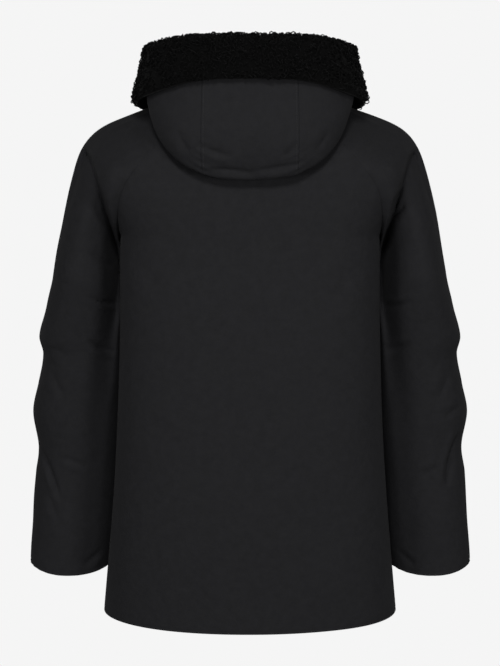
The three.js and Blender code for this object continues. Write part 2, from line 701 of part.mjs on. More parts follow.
// The slider stands at the top of the closed zip, tilted with the collar, and the pull hangs from it plumb.
const [below, seat, above] = tape.slice(-4, -1).map((line) => line[0].clone().setX(0));
const rise = above.clone().sub(below).normalize();
const outward = new THREE.Vector3(0, -rise.z, rise.y);
const slider = new THREE.Group();
slider.position.copy(seat).addScaledVector(outward, SEAM_GAP);
slider.rotation.x = Math.atan2(-rise.y, rise.z);
parka.add(slider);
addPiece("zip_slider", sliderGeometry(), metal, slider);
const pull = addPiece("zip_pull", pullGeometry(), metal);
pull.position.copy(slider.position).addScaledVector(outward, SLIDER.height + BRIDGE.pivotHeight);

export default parka;
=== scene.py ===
"""A black hooded parka, seen from behind: sewn cloth, a curly fleece band and a front zip."""

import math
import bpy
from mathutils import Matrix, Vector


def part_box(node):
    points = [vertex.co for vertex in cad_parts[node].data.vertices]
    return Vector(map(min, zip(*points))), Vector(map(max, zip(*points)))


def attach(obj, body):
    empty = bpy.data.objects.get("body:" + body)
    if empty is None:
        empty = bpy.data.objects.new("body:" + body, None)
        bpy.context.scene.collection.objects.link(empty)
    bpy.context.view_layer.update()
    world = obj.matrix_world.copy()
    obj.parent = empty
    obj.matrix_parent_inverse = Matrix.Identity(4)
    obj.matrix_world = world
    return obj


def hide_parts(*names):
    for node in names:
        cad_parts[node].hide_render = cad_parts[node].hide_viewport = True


bl_info = {
    "name": "Parka with a fleece-edged hood",
    "version": (1, 0, 0),
    "blender": (4, 5, 0),
    "location": "3D View > Sidebar > Parka",
    "description": "Dresses the parka's solids in sewn cloth, curly fleece and a zip",
    "category": "Add Mesh",
}

import bpy
import numpy as np

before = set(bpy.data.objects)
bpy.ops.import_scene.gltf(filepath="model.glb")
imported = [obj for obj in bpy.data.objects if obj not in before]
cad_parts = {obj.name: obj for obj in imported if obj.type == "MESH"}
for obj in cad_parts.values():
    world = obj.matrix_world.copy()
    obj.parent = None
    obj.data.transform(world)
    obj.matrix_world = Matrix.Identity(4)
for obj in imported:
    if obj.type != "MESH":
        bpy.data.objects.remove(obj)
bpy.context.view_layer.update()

MM = 0.001
BODY = "parka"

# Thicknesses and gaps, in millimetres as all sizes below
CLOTH = 3.0
FLEECE = 9.0
SEAM_LAP = 0.3
NECK_LAP = 2.0
TAPE_DEPTH = 3.85
SEWN_EDGE = 0.5
HOOD_SEAM_EDGE = 1.0
HEMMED_EDGE = 1.6
# A hem's stitches press a groove into the cloth, this far from the edge
STITCHES_IN = 3.4
GROOVE_WIDTH = 1.1
GROOVE_DEPTH = 0.55
# Towards an edge, over this distance, the inner face follows the outer one's creases less and less
EVEN_EDGE = 12.0
# The broad waves set in over this distance from a seam
WAVES_SET_IN = 60.0


def table(names, rows):
    """Rows of numbers as one array for each named column."""
    return dict(zip(names.split(), np.array(rows, float).T))


# Body panels, a row for each section from the hem up, as in the solids but for a hem up to 5 mm longer
PANEL_COLUMNS = "edge_x edge_y edge_z middle_y middle_z square reach"
BACK_ROWS = table(PANEL_COLUMNS, [
    [218.5, 28, -731, 165, -737, 2.5, 1],
    [211, 28, -650, 164, -650, 2.7, 1],
    [202.5, 28, -550, 162, -550, 2.8, 1],
    [196.5, 28, -450, 159, -450, 2.9, 1],
    [193, 28, -350, 155, -350, 2.9, 1],
    [191.5, 28, -256, 149, -258, 3.0, 1],
    [190.5, 28, -180, 142, -188, 3.0, 1],
    [191, 56, -165, 141, -164, 3.0, 0.993],
    [191.5, 84, -143, 139, -138, 3.0, 0.97],
    [188, 105, -116, 136, -111, 2.9, 0.93],
    [177, 116, -90, 131, -83, 2.8, 0.88],
    [157, 119, -63, 124, -53, 2.6, 0.83],
    [132, 109, -33, 113, -21, 2.4, 0.79],
    [101, 85, 4, 96, 15, 2.2, 0.77],
    [70, 52, 46, 74, 50, 2.0, 0.76],
])
FRONT_ROWS = table(PANEL_COLUMNS, [
    [218.5, 28, -731, -160, -736, 2.3, 1],
    [211, 28, -650, -159, -650, 2.3, 1],
    [202.5, 28, -550, -157, -550, 2.3, 1],
    [196.5, 28, -450, -155, -450, 2.3, 1],
    [193, 28, -350, -152, -350, 2.3, 1],
    [191.5, 28, -256, -147, -262, 2.3, 1],
    [190.5, 28, -180, -139, -194, 2.3, 1],
    [188.5, -16, -170, -137, -176, 2.3, 0.993],
    [185, -58, -146, -133, -152, 2.3, 0.97],
    [177, -84, -116, -127, -127, 2.3, 0.93],
    [162, -97, -85, -119, -104, 2.2, 0.88],
    [142, -97, -57, -110, -83, 2.2, 0.84],
    [118, -87, -29, -100, -63, 2.1, 0.8],
    [92, -69, -3, -90, -45, 2.0, 0.78],
    [66, -48, 22, -80, -30, 2.0, 0.76],
])
UNDERARM_ROW = 6
NECK_ROW = 14
SIDE_SEAM_Y = 28.0
NECK_SIDE = (85.0, 2.0, 42.0)
ZIP_HALF_GAP = 7.0

# The arm's level sections, a few millimetres fuller below the elbow than the solids
ARM_SECTIONS = table("z inner_x outer_x middle_y half_depth", [
    [-230, 190, 294, -14, 84],
    [-280, 189, 306.5, -25, 82],
    [-326, 189, 319, -34, 80],
    [-354, 189, 313.5, -38, 78],
    [-400, 190, 321.5, -42, 76],
    [-444, 192, 331.5, -44, 73],
    [-498, 195.5, 323, -44, 69],
    [-534, 198.5, 327, -43, 66],
    [-600, 204, 332, -40, 62],
    [-675, 210.5, 336.5, -36, 58],
])
ARM_SQUARE = 2.25
ARM_LEAN = -0.17
CUFF_DROP = 12.0
# How the cloth leaves the armhole and reaches the first level section, as in the solids
ARMHOLE_HANDLES = table("place out_x out_y out_z rise turn", [
    [0, 2, 0, -12, 16, 0],
    [0.125, 14, 10, -14, 30, 22],
    [0.25, 34, 12, -12, 52, 46],
    [0.375, 48, 4, -12, 78, 68],
    [0.5, 62, -2, -12, 100, 86],
    [0.625, 80, -8, -16, 122, 103],
    [0.75, 100, -12, -26, 146, 121],
    [0.875, 134, -10, -50, 176, 140],
    [1, 160, -6, -74, 198, 158],
    [1.5, 168, 0, -66, 205, 180],
    [2, 160, 6, -56, 198, 202],
    [2.125, 134, 12, -44, 176, 220],
    [2.25, 100, 14, -28, 146, 239],
    [2.375, 80, 10, -18, 122, 257],
    [2.5, 62, 4, -12, 100, 274],
    [2.625, 48, -4, -12, 78, 292],
    [2.75, 34, -10, -12, 52, 314],
    [2.875, 14, -10, -14, 30, 338],
    [3, 2, 0, -12, 16, 360],
])
ARM_FOLD = table("x z depth", [
    [252, -40, 2],
    [226, -69, 6],
    [217, -97, 8],
    [208, -129, 10],
    [200, -170, 9],
    [196, -215, 6],
])
FOLD_BODY_SIDE, FOLD_ARM_SIDE = 14.0, 32.0
FOLD_STARTS_BEHIND = 18.0
FOLD_FADES_ABOVE, FOLD_FADES_BELOW = 30.0, 60.0
# The same fold goes deeper in the cloth itself, less so on the front, and runs on down the arm's inner side
DEEP_FOLD = table("x z depth", [
    [256, -36, 16],
    [238, -58, 26],
    [227, -86, 36],
    [216, -120, 41],
    [205, -162, 41],
    [197, -215, 40],
    [190, -280, 40],
    [190, -400, 38],
    [198, -534, 36],
    [210, -660, 28],
])
DEEP_BODY_SIDE, DEEP_ARM_SIDE = 6.0, 24.0
DEEP_ARM_POWER = 0.9
DEEP_FRONT_SHARE = 0.6
DEEP_BEGINS, DEEP_IS_FULL = 18.0, 50.0
# The shoulder's corner stands out this far, to the side, back and up, round one x and above one height
SHOULDER_CORNER = np.array([4.0, 0.0, 8.0])
CORNER_X, CORNER_SPREAD = 232.0, 42.0
CORNER_BEGINS, CORNER_IS_FULL = -130.0, -50.0
# Share of the sleeve's rows over the shoulder, and the shares of that over which the folds set in
SHOULDER_SHARE = 1 / 3
FOLD_SETS_IN = (0.04, 0.34)
DEEP_SETS_IN = (0.03, 0.22)
# Ninths of the raglan seam over which the sleeve takes the panels' normals, and how far down from it
NORMALS_SET_IN = (2, 5)
NORMALS_REACH = 22.0

# The hood's rings seen from above, from the neck to the rim, as in the solids
RINGS = table("width middle back front square down up stand", [
    [108, 20, 98, 92, 2.4, 0.28, 0, 0.13],
    [136, 36, 100, 100, 3.0, 0.8, 0, 0.27],
    [148, 42, 110, 112, 3.2, 1, 0, 0.4],
    [152, 44, 126, 120, 3.0, 1, 0.2, 0.55],
    [149, 36, 131, 128, 2.8, 1, 0.68, 0.8],
    [141, 26, 134, 136, 2.6, 1, 1, 1],
])
RIM = 5
HOOD_BOTTOM = -86.0
HOOD_SIDE_RISE = 136.0
HOOD_SHOULDER_LIFT = 14.0
HOOD_SIDE_CURVE = 1.25
BACK_SEAM_ANGLE = 54.0
FRONT_SEAM_ANGLE = 118.0
HOOD_FRONT_ANGLE = 177.0
BAG_ENDS = 84.0
COLLAR_STARTS = 128.0
TRIM_END_ANGLE = 164.0
RIM_HEIGHTS = table("angle z hang flare tilt inside", [
    [0, 107, 51, 20, -4, 28],
    [30, 106, 53, 24, -4, 28],
    [60, 102, 66, 32, -6, 26],
    [90, 94, 72, 32, -12, 22],
    [105, 85, 70, 32, 16, 18],
    [120, 74, 66, 32, 48, 15],
    [150, 45, 58, 28, 42, 15],
    [180, 26, 56, 24, 30, 18],
])
# Outer face of the fleece band, in distances from the rim
TRIM_INSIDE = 16.5
TRIM_TURN_OUT, TRIM_TURN_UP = 14.0, 5.0
TRIM_TOP_TILTED, TRIM_TOP_UP = 4.0, 10.5
TRIM_CORNER_DROP = 5.0
TRIM_CORNER_ANGLES = (35, 70, 100, 130)
TRIM_SHOULDER_OUT, TRIM_SHOULDER_UP = 13.0, 4.5
TRIM_OUTSIDE = 18.0
# The band's own lumps, and the curls that stand on it
SMALL_LUMP, BROAD_LUMP, BROAD_LUMP_SHARE = 7.5, 17, 0.6
LUMP_HEIGHT, LUMPS_SUNK = 1.8, 3.6
LUMP_SHIFT = 0.35
FLEECE_EDGE = 4.0
CURL_SIZES = (0.7, 1.3)
CURL_LIFTS = (0.1, 0.7)
CURL_LEAN = 0.45

# Zip: rows of its line as in the solids, then the teeth and the box at its lower end
TAPE_EDGE = 0.5
TAPE_ROWS = 9
COLLAR_TAPE_ROWS, COLLAR_ROWS = 12, 15
TOOTH_PITCH = 2.3
TOOTH_SIZE = [4.6, 1.7, 2.3]
TOOTH_OFF_MIDDLE = 1.3
TEETH_BEGIN, TEETH_END_BELOW_SLIDER = 16, 1.5
ZIP_BOX_PLACE = 8
ZIP_BOX_SIZE = [8.5, 12, 3.4]
TEETH_SUNK = 0.3

# Stitches that show beside the zip and on the hood's middle panel
STITCH_SIZE = [0.55, 3.0, 0.45]
STITCH_SPACING = 3.6
ZIP_STITCHES_IN = 5.0
HOOD_STITCHES_IN = 4.0

# Columns round the neck edge, counted from the middle of the back: back, over the shoulder and front
NECK_PLACES = (0.0, 8.0, 12.0, 18.0)
HOOD_SEAM_PLACE = 4.0

# Grid steps of the cloth
BACK_STEPS = (170, 130)
FRONT_STEPS = (170, 64)
SLEEVE_STEPS = (200, (58, 20, 58))
HOOD_STEPS = (100, 44, 96)
TRIM_STEPS = (44, 448)


# A crease's rounded bottom and steepness in widths, its lip's height and distance, and how its ends fade
CREASE_ROUND, CREASE_STEEP = 0.2, 1.6
LIP_SHARE, LIP_OFF = 0.4, 2.2
CREASE_ENDS_POWER = 0.8
# A crease is whole where the cloth's normal has at least this share towards its side
CREASE_FACING = 0.35

# Creases as x0 z0 x1 z1 depth width bow, each a soft trough from one point of the picture plane to another.
# Positive bow bends it to the left of its direction.
BACK_LEFT_ARM = [
    [236, -262, 197, -277, 3.9, 3.5, 1],
    [240, -326, 198, -350, 5.1, 4.2, 3],
    [294, -376, 276, -416, 2.7, 5.6, 2],
    [317, -496, 285, -572, 6.5, 3.8, -2],
    [305, -562, 289, -604, 2.2, 4.6, -1],
    [282, -506, 244, -523, 3.3, 4.2, -2],
    [304, -340, 268, -352, 2.4, 6.3, -2],
    [252, -672, 224, -648, 3.0, 4.2, 1],
    [232, -196, 205, -222, 3.0, 5.6, -2],
]
BACK_RIGHT_ARM = [
    [-316, -470, -297, -552, 9.0, 5.6, 3],
    [-240, -268, -199, -280, 2.7, 4.2, -1],
    [-238, -330, -203, -346, 3.0, 4.9, -2],
    [-296, -378, -280, -418, 3.0, 6.3, -2],
    [-284, -520, -258, -538, 2.7, 5.6, 2],
    [-320, -430, -290, -446, 3.6, 5.6, 2],
    [-222, -103, -206, -126, 4.5, 2.8, 1],
    [-226, -128, -204, -148, 4.5, 2.8, -1],
    [-250, -672, -224, -650, 2.6, 4.2, -1],
]
FRONT_LEFT_ARM = [
    [300, -306, 238, -348, 6.0, 6, 3],
    [304, -352, 236, -382, 5.1, 6, -3],
    [228, -300, 200, -330, 3.6, 5.2, 2],
    [306, -420, 262, -446, 3.6, 6.8, 2],
    [300, -520, 250, -498, 3.9, 6, -2],
    [240, -640, 280, -612, 2.7, 6.8, 2],
    [236, -160, 206, -214, 4.5, 5.2, 2],
]
FRONT_RIGHT_ARM = [
    [-302, -312, -240, -342, 5.4, 6, -3],
    [-306, -362, -232, -386, 5.7, 6, 3],
    [-226, -290, -202, -322, 3.3, 5.2, -2],
    [-310, -436, -266, -452, 3.6, 6.8, -2],
    [-298, -540, -246, -508, 3.6, 6, 2],
    [-234, -164, -206, -206, 4.8, 5.2, -2],
]
BACK_BODY = [
    [-170, -196, -120, -262, 1.6, 14.4, 4],
    [172, -190, 128, -250, 1.6, 13.5, -4],
    [150, -420, 92, -470, 1.2, 18, 5],
    [-60, -560, -120, -640, 1.2, 19.8, -6],
]
FRONT_BODY = [
    [172, -200, 110, -262, 3.0, 9.6, 4],
    [-170, -196, -114, -250, 3.0, 9.6, -4],
    [150, -330, 90, -392, 2.1, 12.8, 4],
    [-140, -420, -80, -476, 2.1, 14.4, -5],
]
HOOD_BACK = [
    [60, -72, -12, -79, 4.2, 4.5, -2],
    [0, -74, -74, -62, 3.5, 4.5, 2],
    [76, -36, 24, -53, 4.2, 3.8, 2],
    [-70, -30, -44, -56, 2.6, 4.5, -2],
    [104, -14, 84, -48, 2.6, 5.2, 2],
    [-112, -16, -92, -46, 2.2, 6, -2],
]


def smoothstep(value, low, high):
    """0 below low, 1 above high and a smooth rise between."""
    share = np.clip((value - low) / (high - low), 0, 1)
    return share * share * (3 - 2 * share)


def between(rows, key, place):
    """A column's value at places counted in rows, on a Catmull-Rom curve through the rows."""
    column = rows[key]
    last = len(column) - 1
    first = np.clip(np.floor(place).astype(int), 0, last - 1)
    f = place - first
    a, b, c, d = (column[np.clip(first + k, 0, last)] for k in (-1, 0, 1, 2))
    return 0.5 * (2 * b + (c - a) * f + (2 * a - 5 * b + 4 * c - d) * f**2 + (3 * b - a - 3 * c + d) * f**3)


def looked_up(rows, by, key, value):
    """A column's value where another column, which rises or falls throughout, has the given value."""
    sign = np.sign(rows[by][-1] - rows[by][0])
    place = np.interp(sign * value, sign * rows[by], np.arange(len(rows[by])))
    return between(rows, key, place)


def smooth_path(stations, at):
    """Centripetal Catmull-Rom curves through the stations, at shares from 0 to 1 of their number.

    A station may hold many points, so that a whole surface is worked out at once.
    """
    stations = np.asarray(stations, float)
    first, last = 2 * stations[0] - stations[1], 2 * stations[-1] - stations[-2]
    points = np.concatenate([first[None], stations, last[None]])
    gaps = np.sqrt(np.linalg.norm(np.diff(points, axis=0), axis=-1, keepdims=True))
    gaps = np.maximum(gaps, 1e-3)
    place = np.asarray(at) * (len(stations) - 1)
    i = np.minimum(place.astype(int), len(stations) - 2)
    f = (place - i).reshape((-1,) + (1,) * (stations.ndim - 1))
    a, b, c, d = (points[i + k] for k in range(4))
    before, here, after = (gaps[i + k] for k in range(3))
    start = ((b - a) / before - (c - a) / (before + here) + (c - b) / here) * here
    end = ((c - b) / here - (d - b) / (here + after) + (d - c) / after) * here
    return b + start * f + (3 * (c - b) - 2 * start - end) * f**2 + (2 * (b - c) + start + end) * f**3


def eased_steps(count):
    """Even steps from 0 to 1, with four close ones at each end for a turned edge and its stitched line."""
    close = np.array([0.1, 0.25, 0.45, 0.7]) / count
    return np.unique(np.concatenate([np.linspace(0, 1, count + 1), close, 1 - close]))


def unit(vectors):
    """Vectors at length one."""
    return vectors / np.maximum(np.linalg.norm(vectors, axis=-1, keepdims=True), 1e-9)


def normals_of(grid, is_tube=False):
    """Outward normals of a grid: its step across times its step along, from each point's neighbours."""
    if is_tube:
        across = np.roll(grid, -1, axis=1) - np.roll(grid, 1, axis=1)
    else:
        across = np.gradient(grid, axis=1)
    return unit(np.cross(across, np.gradient(grid, axis=0)))


def closed_round(grid):
    """The same columns and the first one once more."""
    return np.concatenate([grid, grid[:, :1]], axis=1)


def lengths_over(grid, is_tube=False):
    """Arc lengths over a grid: across from its first column and along from its first row."""
    closed = closed_round(grid) if is_tube else grid
    across = np.cumsum(np.linalg.norm(np.diff(closed, axis=1), axis=-1), axis=1)
    along = np.cumsum(np.linalg.norm(np.diff(closed, axis=0), axis=-1), axis=0)
    return np.pad(across, ((0, 0), (1, 0))), np.pad(along, ((1, 0), (0, 0)))


def from_edges(grid, is_tube=False):
    """Distances over a grid from its first and last column and its first and last row."""
    across, along = lengths_over(grid, is_tube)
    if is_tube:
        across, along = across[:, :-1], along[:, :-1]
    return across, across[:, -1:] - across, along, along[-1:] - along


def line_lengths(line):
    """Arc lengths along a line from its first point."""
    return np.concatenate([[0], np.cumsum(np.linalg.norm(np.diff(line, axis=0), axis=1))])


def line_at(at, lengths, values):
    """Rows of three values at places along a line, straight from one point to the next."""
    return np.stack([np.interp(at, lengths, values[:, k]) for k in range(3)], axis=-1)


def turned_edge(distance, radius):
    """How far a cloth edge turns in: a quarter circle over the last stretch before the edge."""
    inside = np.clip(radius - distance, 0, radius)
    return radius - np.sqrt(np.maximum(radius**2 - inside**2, 0))


def eased_over(grid, rows, kept=40.0):
    """A panel's cloth bridging its sharper bends: each column averaged over neighbouring rows.

    The weights are a bell curve over the given number of rows. The side edges stay, and the cloth within
    the kept distance of them blends into the average.
    """
    steps = np.arange(-3 * rows, 3 * rows + 1)
    weights = np.exp(-((steps / rows) ** 2))
    weights /= weights.sum()
    pad = 3 * rows
    low = 2 * grid[:1] - grid[pad:0:-1]
    high = 2 * grid[-1:] - grid[-2 : -pad - 2 : -1]
    longer = np.concatenate([low, grid, high])
    mean = sum(weight * longer[k : k + len(grid)] for k, weight in enumerate(weights))
    across, _ = lengths_over(grid)
    share = smoothstep(np.minimum(across, across[:, -1:] - across), 0, kept)[..., None]
    return grid + (mean - grid) * share


def broad_waves(points, size, seed, edge, waves=10):
    """The cloth's slight waves of the set height: a sum of long sine waves in seeded directions.

    They fade out towards the seams, so that the pieces meet there.
    """
    rng = np.random.default_rng(seed)
    total = np.zeros(points.shape[:-1])
    for direction in unit(rng.normal(size=(waves, 3))):
        span = size * rng.uniform(0.7, 1.7)
        total += np.sin(points @ direction * 2 * math.pi / span + rng.uniform(0, 2 * math.pi))
    height = bpy.context.scene.parka.unevenness / MM
    return height * (total / math.sqrt(2 * waves)) * smoothstep(edge, 0, WAVES_SET_IN)


def seam_puckers(distance, along, seed, spacing=10.0, reach=9.0):
    """Short ripples of the set height square to a seam: a wandering wave along it that fades away from it."""
    rng = np.random.default_rng(seed)
    a, b, c = rng.uniform(0, 2 * math.pi, 3)
    wander = 1.1 * np.sin(along / (3.1 * spacing) + a) + 0.8 * np.sin(along / (1.7 * spacing) + b)
    strength = 0.6 + 0.4 * np.sin(along / (2.3 * spacing) + c)
    fade = np.exp(-((distance / reach) ** 1.3))
    height = bpy.context.scene.parka.pucker_height / MM
    return height * (strength * np.sin(2 * math.pi * along / spacing + wander) * fade)


def stitched_line(distance):
    """The groove that a row of stitches presses into a hem: a bell curve across the row."""
    return GROOVE_DEPTH * np.exp(-(((distance - STITCHES_IN) / GROOVE_WIDTH) ** 2))


def crease_depth(points, normals, rows, facing):
    """Depth of the creases on the side that faces back (1) or front (-1).

    Across its line a crease is a narrow trough with a lower raised lip above it; along it the depth fades to
    both ends.
    """
    x, z = points[..., 0], points[..., 2]
    total = np.zeros(x.shape)
    for x0, z0, x1, z1, depth, width, bow in rows:
        run, rise = x1 - x0, z1 - z0
        length = math.hypot(run, rise)
        share = ((x - x0) * run + (z - z0) * rise) / length**2
        bend = 4 * bow * share * (1 - share)
        off = ((z - z0) * run - (x - x0) * rise) / length - bend
        ends = np.clip(4 * share * (1 - share), 0, 1) ** CREASE_ENDS_POWER
        rounded = np.sqrt((off / width) ** 2 + CREASE_ROUND**2) - CREASE_ROUND
        lip = LIP_SHARE * np.exp(-(((off - LIP_OFF * width) / width) ** 2))
        total += depth * ends * (np.exp(-rounded * CREASE_STEEP) - lip)
    return total * smoothstep(facing * normals[..., 1], 0.0, CREASE_FACING)


def panel(rows, place, across):
    """Points of a body panel at places counted in rows and shares across, 0 on the middle and 1 at the edge.

    Across, the depth follows as much of a superellipse as the row's reach says; the height follows the
    share squared.
    """
    value = {key: between(rows, key, place) for key in rows}
    edge_y = np.where(place > UNDERARM_ROW, value["edge_y"], SIDE_SEAM_Y)
    square, reach = value["square"], np.minimum(value["reach"], 1)

    def fullness(share):
        """A quarter superellipse: 1 on the middle and 0 at a share of 1."""
        return np.maximum(1 - share**square, 0) ** (1 / square)

    drop = (1 - fullness(np.abs(across) * reach)) / (1 - fullness(reach))
    x = value["edge_x"] * across
    y = value["middle_y"] + (edge_y - value["middle_y"]) * drop
    z = value["middle_z"] + (value["edge_z"] - value["middle_z"]) * across**2
    return np.stack(np.broadcast_arrays(x, y, z), axis=-1)


def panel_places(count):
    """Places from hem to neck in nearly even distances, two thirds of them below the underarm."""
    return np.interp(eased_steps(count), [0, 0.69, 1], [0, UNDERARM_ROW, NECK_ROW])[:, None]


def back_grid():
    """The back from its left edge to its right one, columns closer together towards the side seams."""
    rows, columns = BACK_STEPS
    across = np.cos(math.pi * eased_steps(columns))[None]
    return panel(BACK_ROWS, panel_places(rows), across) - (0, SEAM_LAP / 2, 0)


def front_grid():
    """The wearer's left front from the zip's edge to the side seam."""
    rows, columns = FRONT_STEPS
    place = panel_places(rows)
    first = ZIP_HALF_GAP / between(FRONT_ROWS, "edge_x", place)
    across = first + (1 - first) * np.sin(math.pi / 2 * eased_steps(columns))[None]
    return panel(FRONT_ROWS, place, across) + (0, SEAM_LAP / 2, 0)


def mirrored(grid):
    """The same grid on the wearer's other side, its columns turned round so that it still faces out."""
    return (grid * (-1, 1, 1))[:, ::-1]


def neck_point(place):
    """Points of the neck edge at places from the middle of the back to the zip."""
    back_end, over_end, front_end = NECK_PLACES[1:]
    neck = np.full_like(place, NECK_ROW)
    first = ZIP_HALF_GAP / between(FRONT_ROWS, "edge_x", np.array(float(NECK_ROW)))
    on_back = panel(BACK_ROWS, neck, np.sin(math.pi / 2 * np.clip(place / back_end, 0, 1)))
    share = np.sin(math.pi / 2 * np.clip((front_end - place) / (front_end - over_end), 0, 1))
    on_front = panel(FRONT_ROWS, neck, first + (1 - first) * share)
    corner = np.array(float(NECK_ROW)), np.array(1.0)
    ends = panel(BACK_ROWS, *corner), NECK_SIDE, panel(FRONT_ROWS, *corner)
    over = smooth_path(ends, np.clip((place - back_end) / (over_end - back_end), 0, 1))
    point = np.where((place < back_end)[:, None], on_back, over)
    return np.where((place > over_end)[:, None], on_front, point)


def armhole_point(place):
    """Points of the armhole: up the back seam (0 to 1), over the neck edge (1 to 2), down the front seam."""
    rise = NECK_ROW - UNDERARM_ROW
    edge = np.ones_like(place)
    on_back = panel(BACK_ROWS, UNDERARM_ROW + rise * np.clip(place, 0, 1), edge)
    on_front = panel(FRONT_ROWS, UNDERARM_ROW + rise * np.clip(3 - place, 0, 1), edge)
    back_end, over_end = NECK_PLACES[1:3]
    over = neck_point(back_end + (over_end - back_end) * np.clip(place - 1, 0, 1))
    point = np.where((place < 1)[:, None], on_back, over)
    return np.where((place > 2)[:, None], on_front, point)


def armhole_normal(place):
    """Outward normals of back and front along their raglan seams, and of their corners over the neck.

    Each is square to a short step across the panel and one along its edge.
    """
    edge, beside = np.ones_like(place), np.full_like(place, 0.97)
    rise = NECK_ROW - UNDERARM_ROW
    sides = []
    for rows, share in ((BACK_ROWS, np.clip(place, 0, 1)), (FRONT_ROWS, np.clip(3 - place, 0, 1))):
        at = UNDERARM_ROW + rise * share
        here = panel(rows, at, edge)
        across = here - panel(rows, at, beside)
        along = panel(rows, at + 0.05, edge) - panel(rows, at - 0.05, edge)
        normal = unit(np.cross(across, along))
        sides.append(normal * np.sign((normal * here * (1, 1, 0)).sum(-1, keepdims=True)))
    return np.where((place < 1.5)[:, None], *sides)


def arm_point(z, turn):
    """Points of the arm's level superellipse sections: turn 0 faces the body, 90 back and 180 outwards."""
    angle = np.radians(turn)
    inner, outer, middle, half = (
        looked_up(ARM_SECTIONS, "z", key, z) for key in ("inner_x", "outer_x", "middle_y", "half_depth")
    )

    def rounded(value):
        """A sine or cosine raised to the superellipse's power, its sign kept."""
        return np.sign(value) * np.abs(value) ** (2 / ARM_SQUARE)

    x = (inner + outer) / 2 - (outer - inner) / 2 * rounded(np.cos(angle))
    y = middle + half * rounded(np.sin(angle))
    tilt = CUFF_DROP * z * np.sin(angle) * np.abs(np.sin(angle)) / abs(ARM_SECTIONS["z"][-1])
    return np.stack(np.broadcast_arrays(x, y, z + tilt), axis=-1)


def fold_depth(points):
    """The long fold between arm and body: a trough, steep on the body's side and soft on the arm's."""
    x, y, z = np.moveaxis(points, -1, 0)
    off = x - np.interp(-z, -ARM_FOLD["z"], ARM_FOLD["x"])
    width = np.where(off < 0, FOLD_BODY_SIDE, FOLD_ARM_SIDE)
    top, low = -ARM_FOLD["z"][0], -ARM_FOLD["z"][-1]
    ends = smoothstep(-z, top - FOLD_FADES_ABOVE, top) * (1 - smoothstep(-z, low, low + FOLD_FADES_BELOW))
    behind = smoothstep(np.abs(y), FOLD_STARTS_BEHIND, 3 * FOLD_STARTS_BEHIND)
    depth = np.interp(-z, -ARM_FOLD["z"], ARM_FOLD["depth"])
    return depth * np.exp(-((off / width) ** 2)) * ends * behind


def deep_fold(points):
    """The cloth's own part of that fold: a steep bell on the body's side and a long slope on the arm's."""
    x, y, z = np.moveaxis(points, -1, 0)
    place = np.interp(-z, -DEEP_FOLD["z"], np.arange(len(DEEP_FOLD["z"])))
    off = x - between(DEEP_FOLD, "x", place)
    body_side = np.exp(-((off / DEEP_BODY_SIDE) ** 2))
    arm_side = np.exp(-((np.abs(off) / DEEP_ARM_SIDE) ** DEEP_ARM_POWER))
    bell = np.where(off < 0, body_side, arm_side)
    begins = smoothstep(-z, DEEP_BEGINS, DEEP_IS_FULL)
    behind = smoothstep(np.abs(y), FOLD_STARTS_BEHIND / 2, 2 * FOLD_STARTS_BEHIND)
    share = np.where(y < 0, DEEP_FRONT_SHARE, 1)
    return between(DEEP_FOLD, "depth", place) * bell * begins * (behind * share)


def sleeve_places():
    """Places round the armhole, one for each column, from its end so that the sleeve's normals point out."""
    return np.concatenate([np.arange(count) / count + k for k, count in enumerate(SLEEVE_STEPS[1])])[::-1]


def sleeve_normals(grid):
    """The sleeve's normals, blended into the panels' along the raglan seams so that edges are parallel."""
    normals = normals_of(grid, True)
    place = sleeve_places()
    *_, down = from_edges(grid, True)
    is_raglan = np.abs(place - 1.5) >= 0.5
    share = smoothstep(9 * np.minimum(place, 3 - place), *NORMALS_SET_IN) * is_raglan
    share = share * (1 - smoothstep(down, 0, NORMALS_REACH))
    return unit(normals + (armhole_normal(place) - normals) * share[..., None])


def sleeve_grid():
    """The left sleeve from the cuff to the armhole: the arm's sections, then cubic Bezier curves."""
    place = sleeve_places()
    index = np.interp(place, ARMHOLE_HANDLES["place"], np.arange(len(ARMHOLE_HANDLES["place"])))
    handle = {key: between(ARMHOLE_HANDLES, key, index) for key in ARMHOLE_HANDLES}
    point = armhole_point(place)
    out = np.stack([handle["out_x"], handle["out_y"], handle["out_z"]], axis=-1)
    seam = unit(np.roll(point, -1, axis=0) - np.roll(point, 1, axis=0))
    away = unit(out - (out * seam).sum(-1, keepdims=True) * seam)
    start = point - SEAM_LAP * away
    top, cuff = ARM_SECTIONS["z"][0], ARM_SECTIONS["z"][-1]
    end = arm_point(np.full_like(place, top), handle["turn"])
    lean = np.array([ARM_LEAN, 0, 1])
    steps = eased_steps(SLEEVE_STEPS[0])
    t = steps[steps < SHOULDER_SHARE][:, None, None] / SHOULDER_SHARE
    two, three = start + out, end + lean * handle["rise"][:, None]
    upper = (1 - t) ** 3 * start + 3 * t * (1 - t) ** 2 * two + 3 * t**2 * (1 - t) * three + t**3 * end
    down = (steps[steps >= SHOULDER_SHARE][:, None] - SHOULDER_SHARE) / (1 - SHOULDER_SHARE)
    lower = arm_point(top + (cuff - top) * down, handle["turn"][None])
    grid = np.concatenate([upper, lower])
    below = np.ones_like(down)
    fold_ramp = np.concatenate([smoothstep(t[:, 0], *FOLD_SETS_IN), below])
    deep_ramp = np.concatenate([smoothstep(t[:, 0], *DEEP_SETS_IN), below])
    corner = np.exp(-(((grid[..., 0] - CORNER_X) / CORNER_SPREAD) ** 2))
    corner = corner * smoothstep(grid[..., 2], CORNER_BEGINS, CORNER_IS_FULL) * deep_ramp
    grid = grid + corner[..., None] * SHOULDER_CORNER
    grid[..., 1] -= np.sign(grid[..., 1]) * (fold_depth(grid) * fold_ramp + deep_fold(grid) * deep_ramp)
    return grid[::-1]


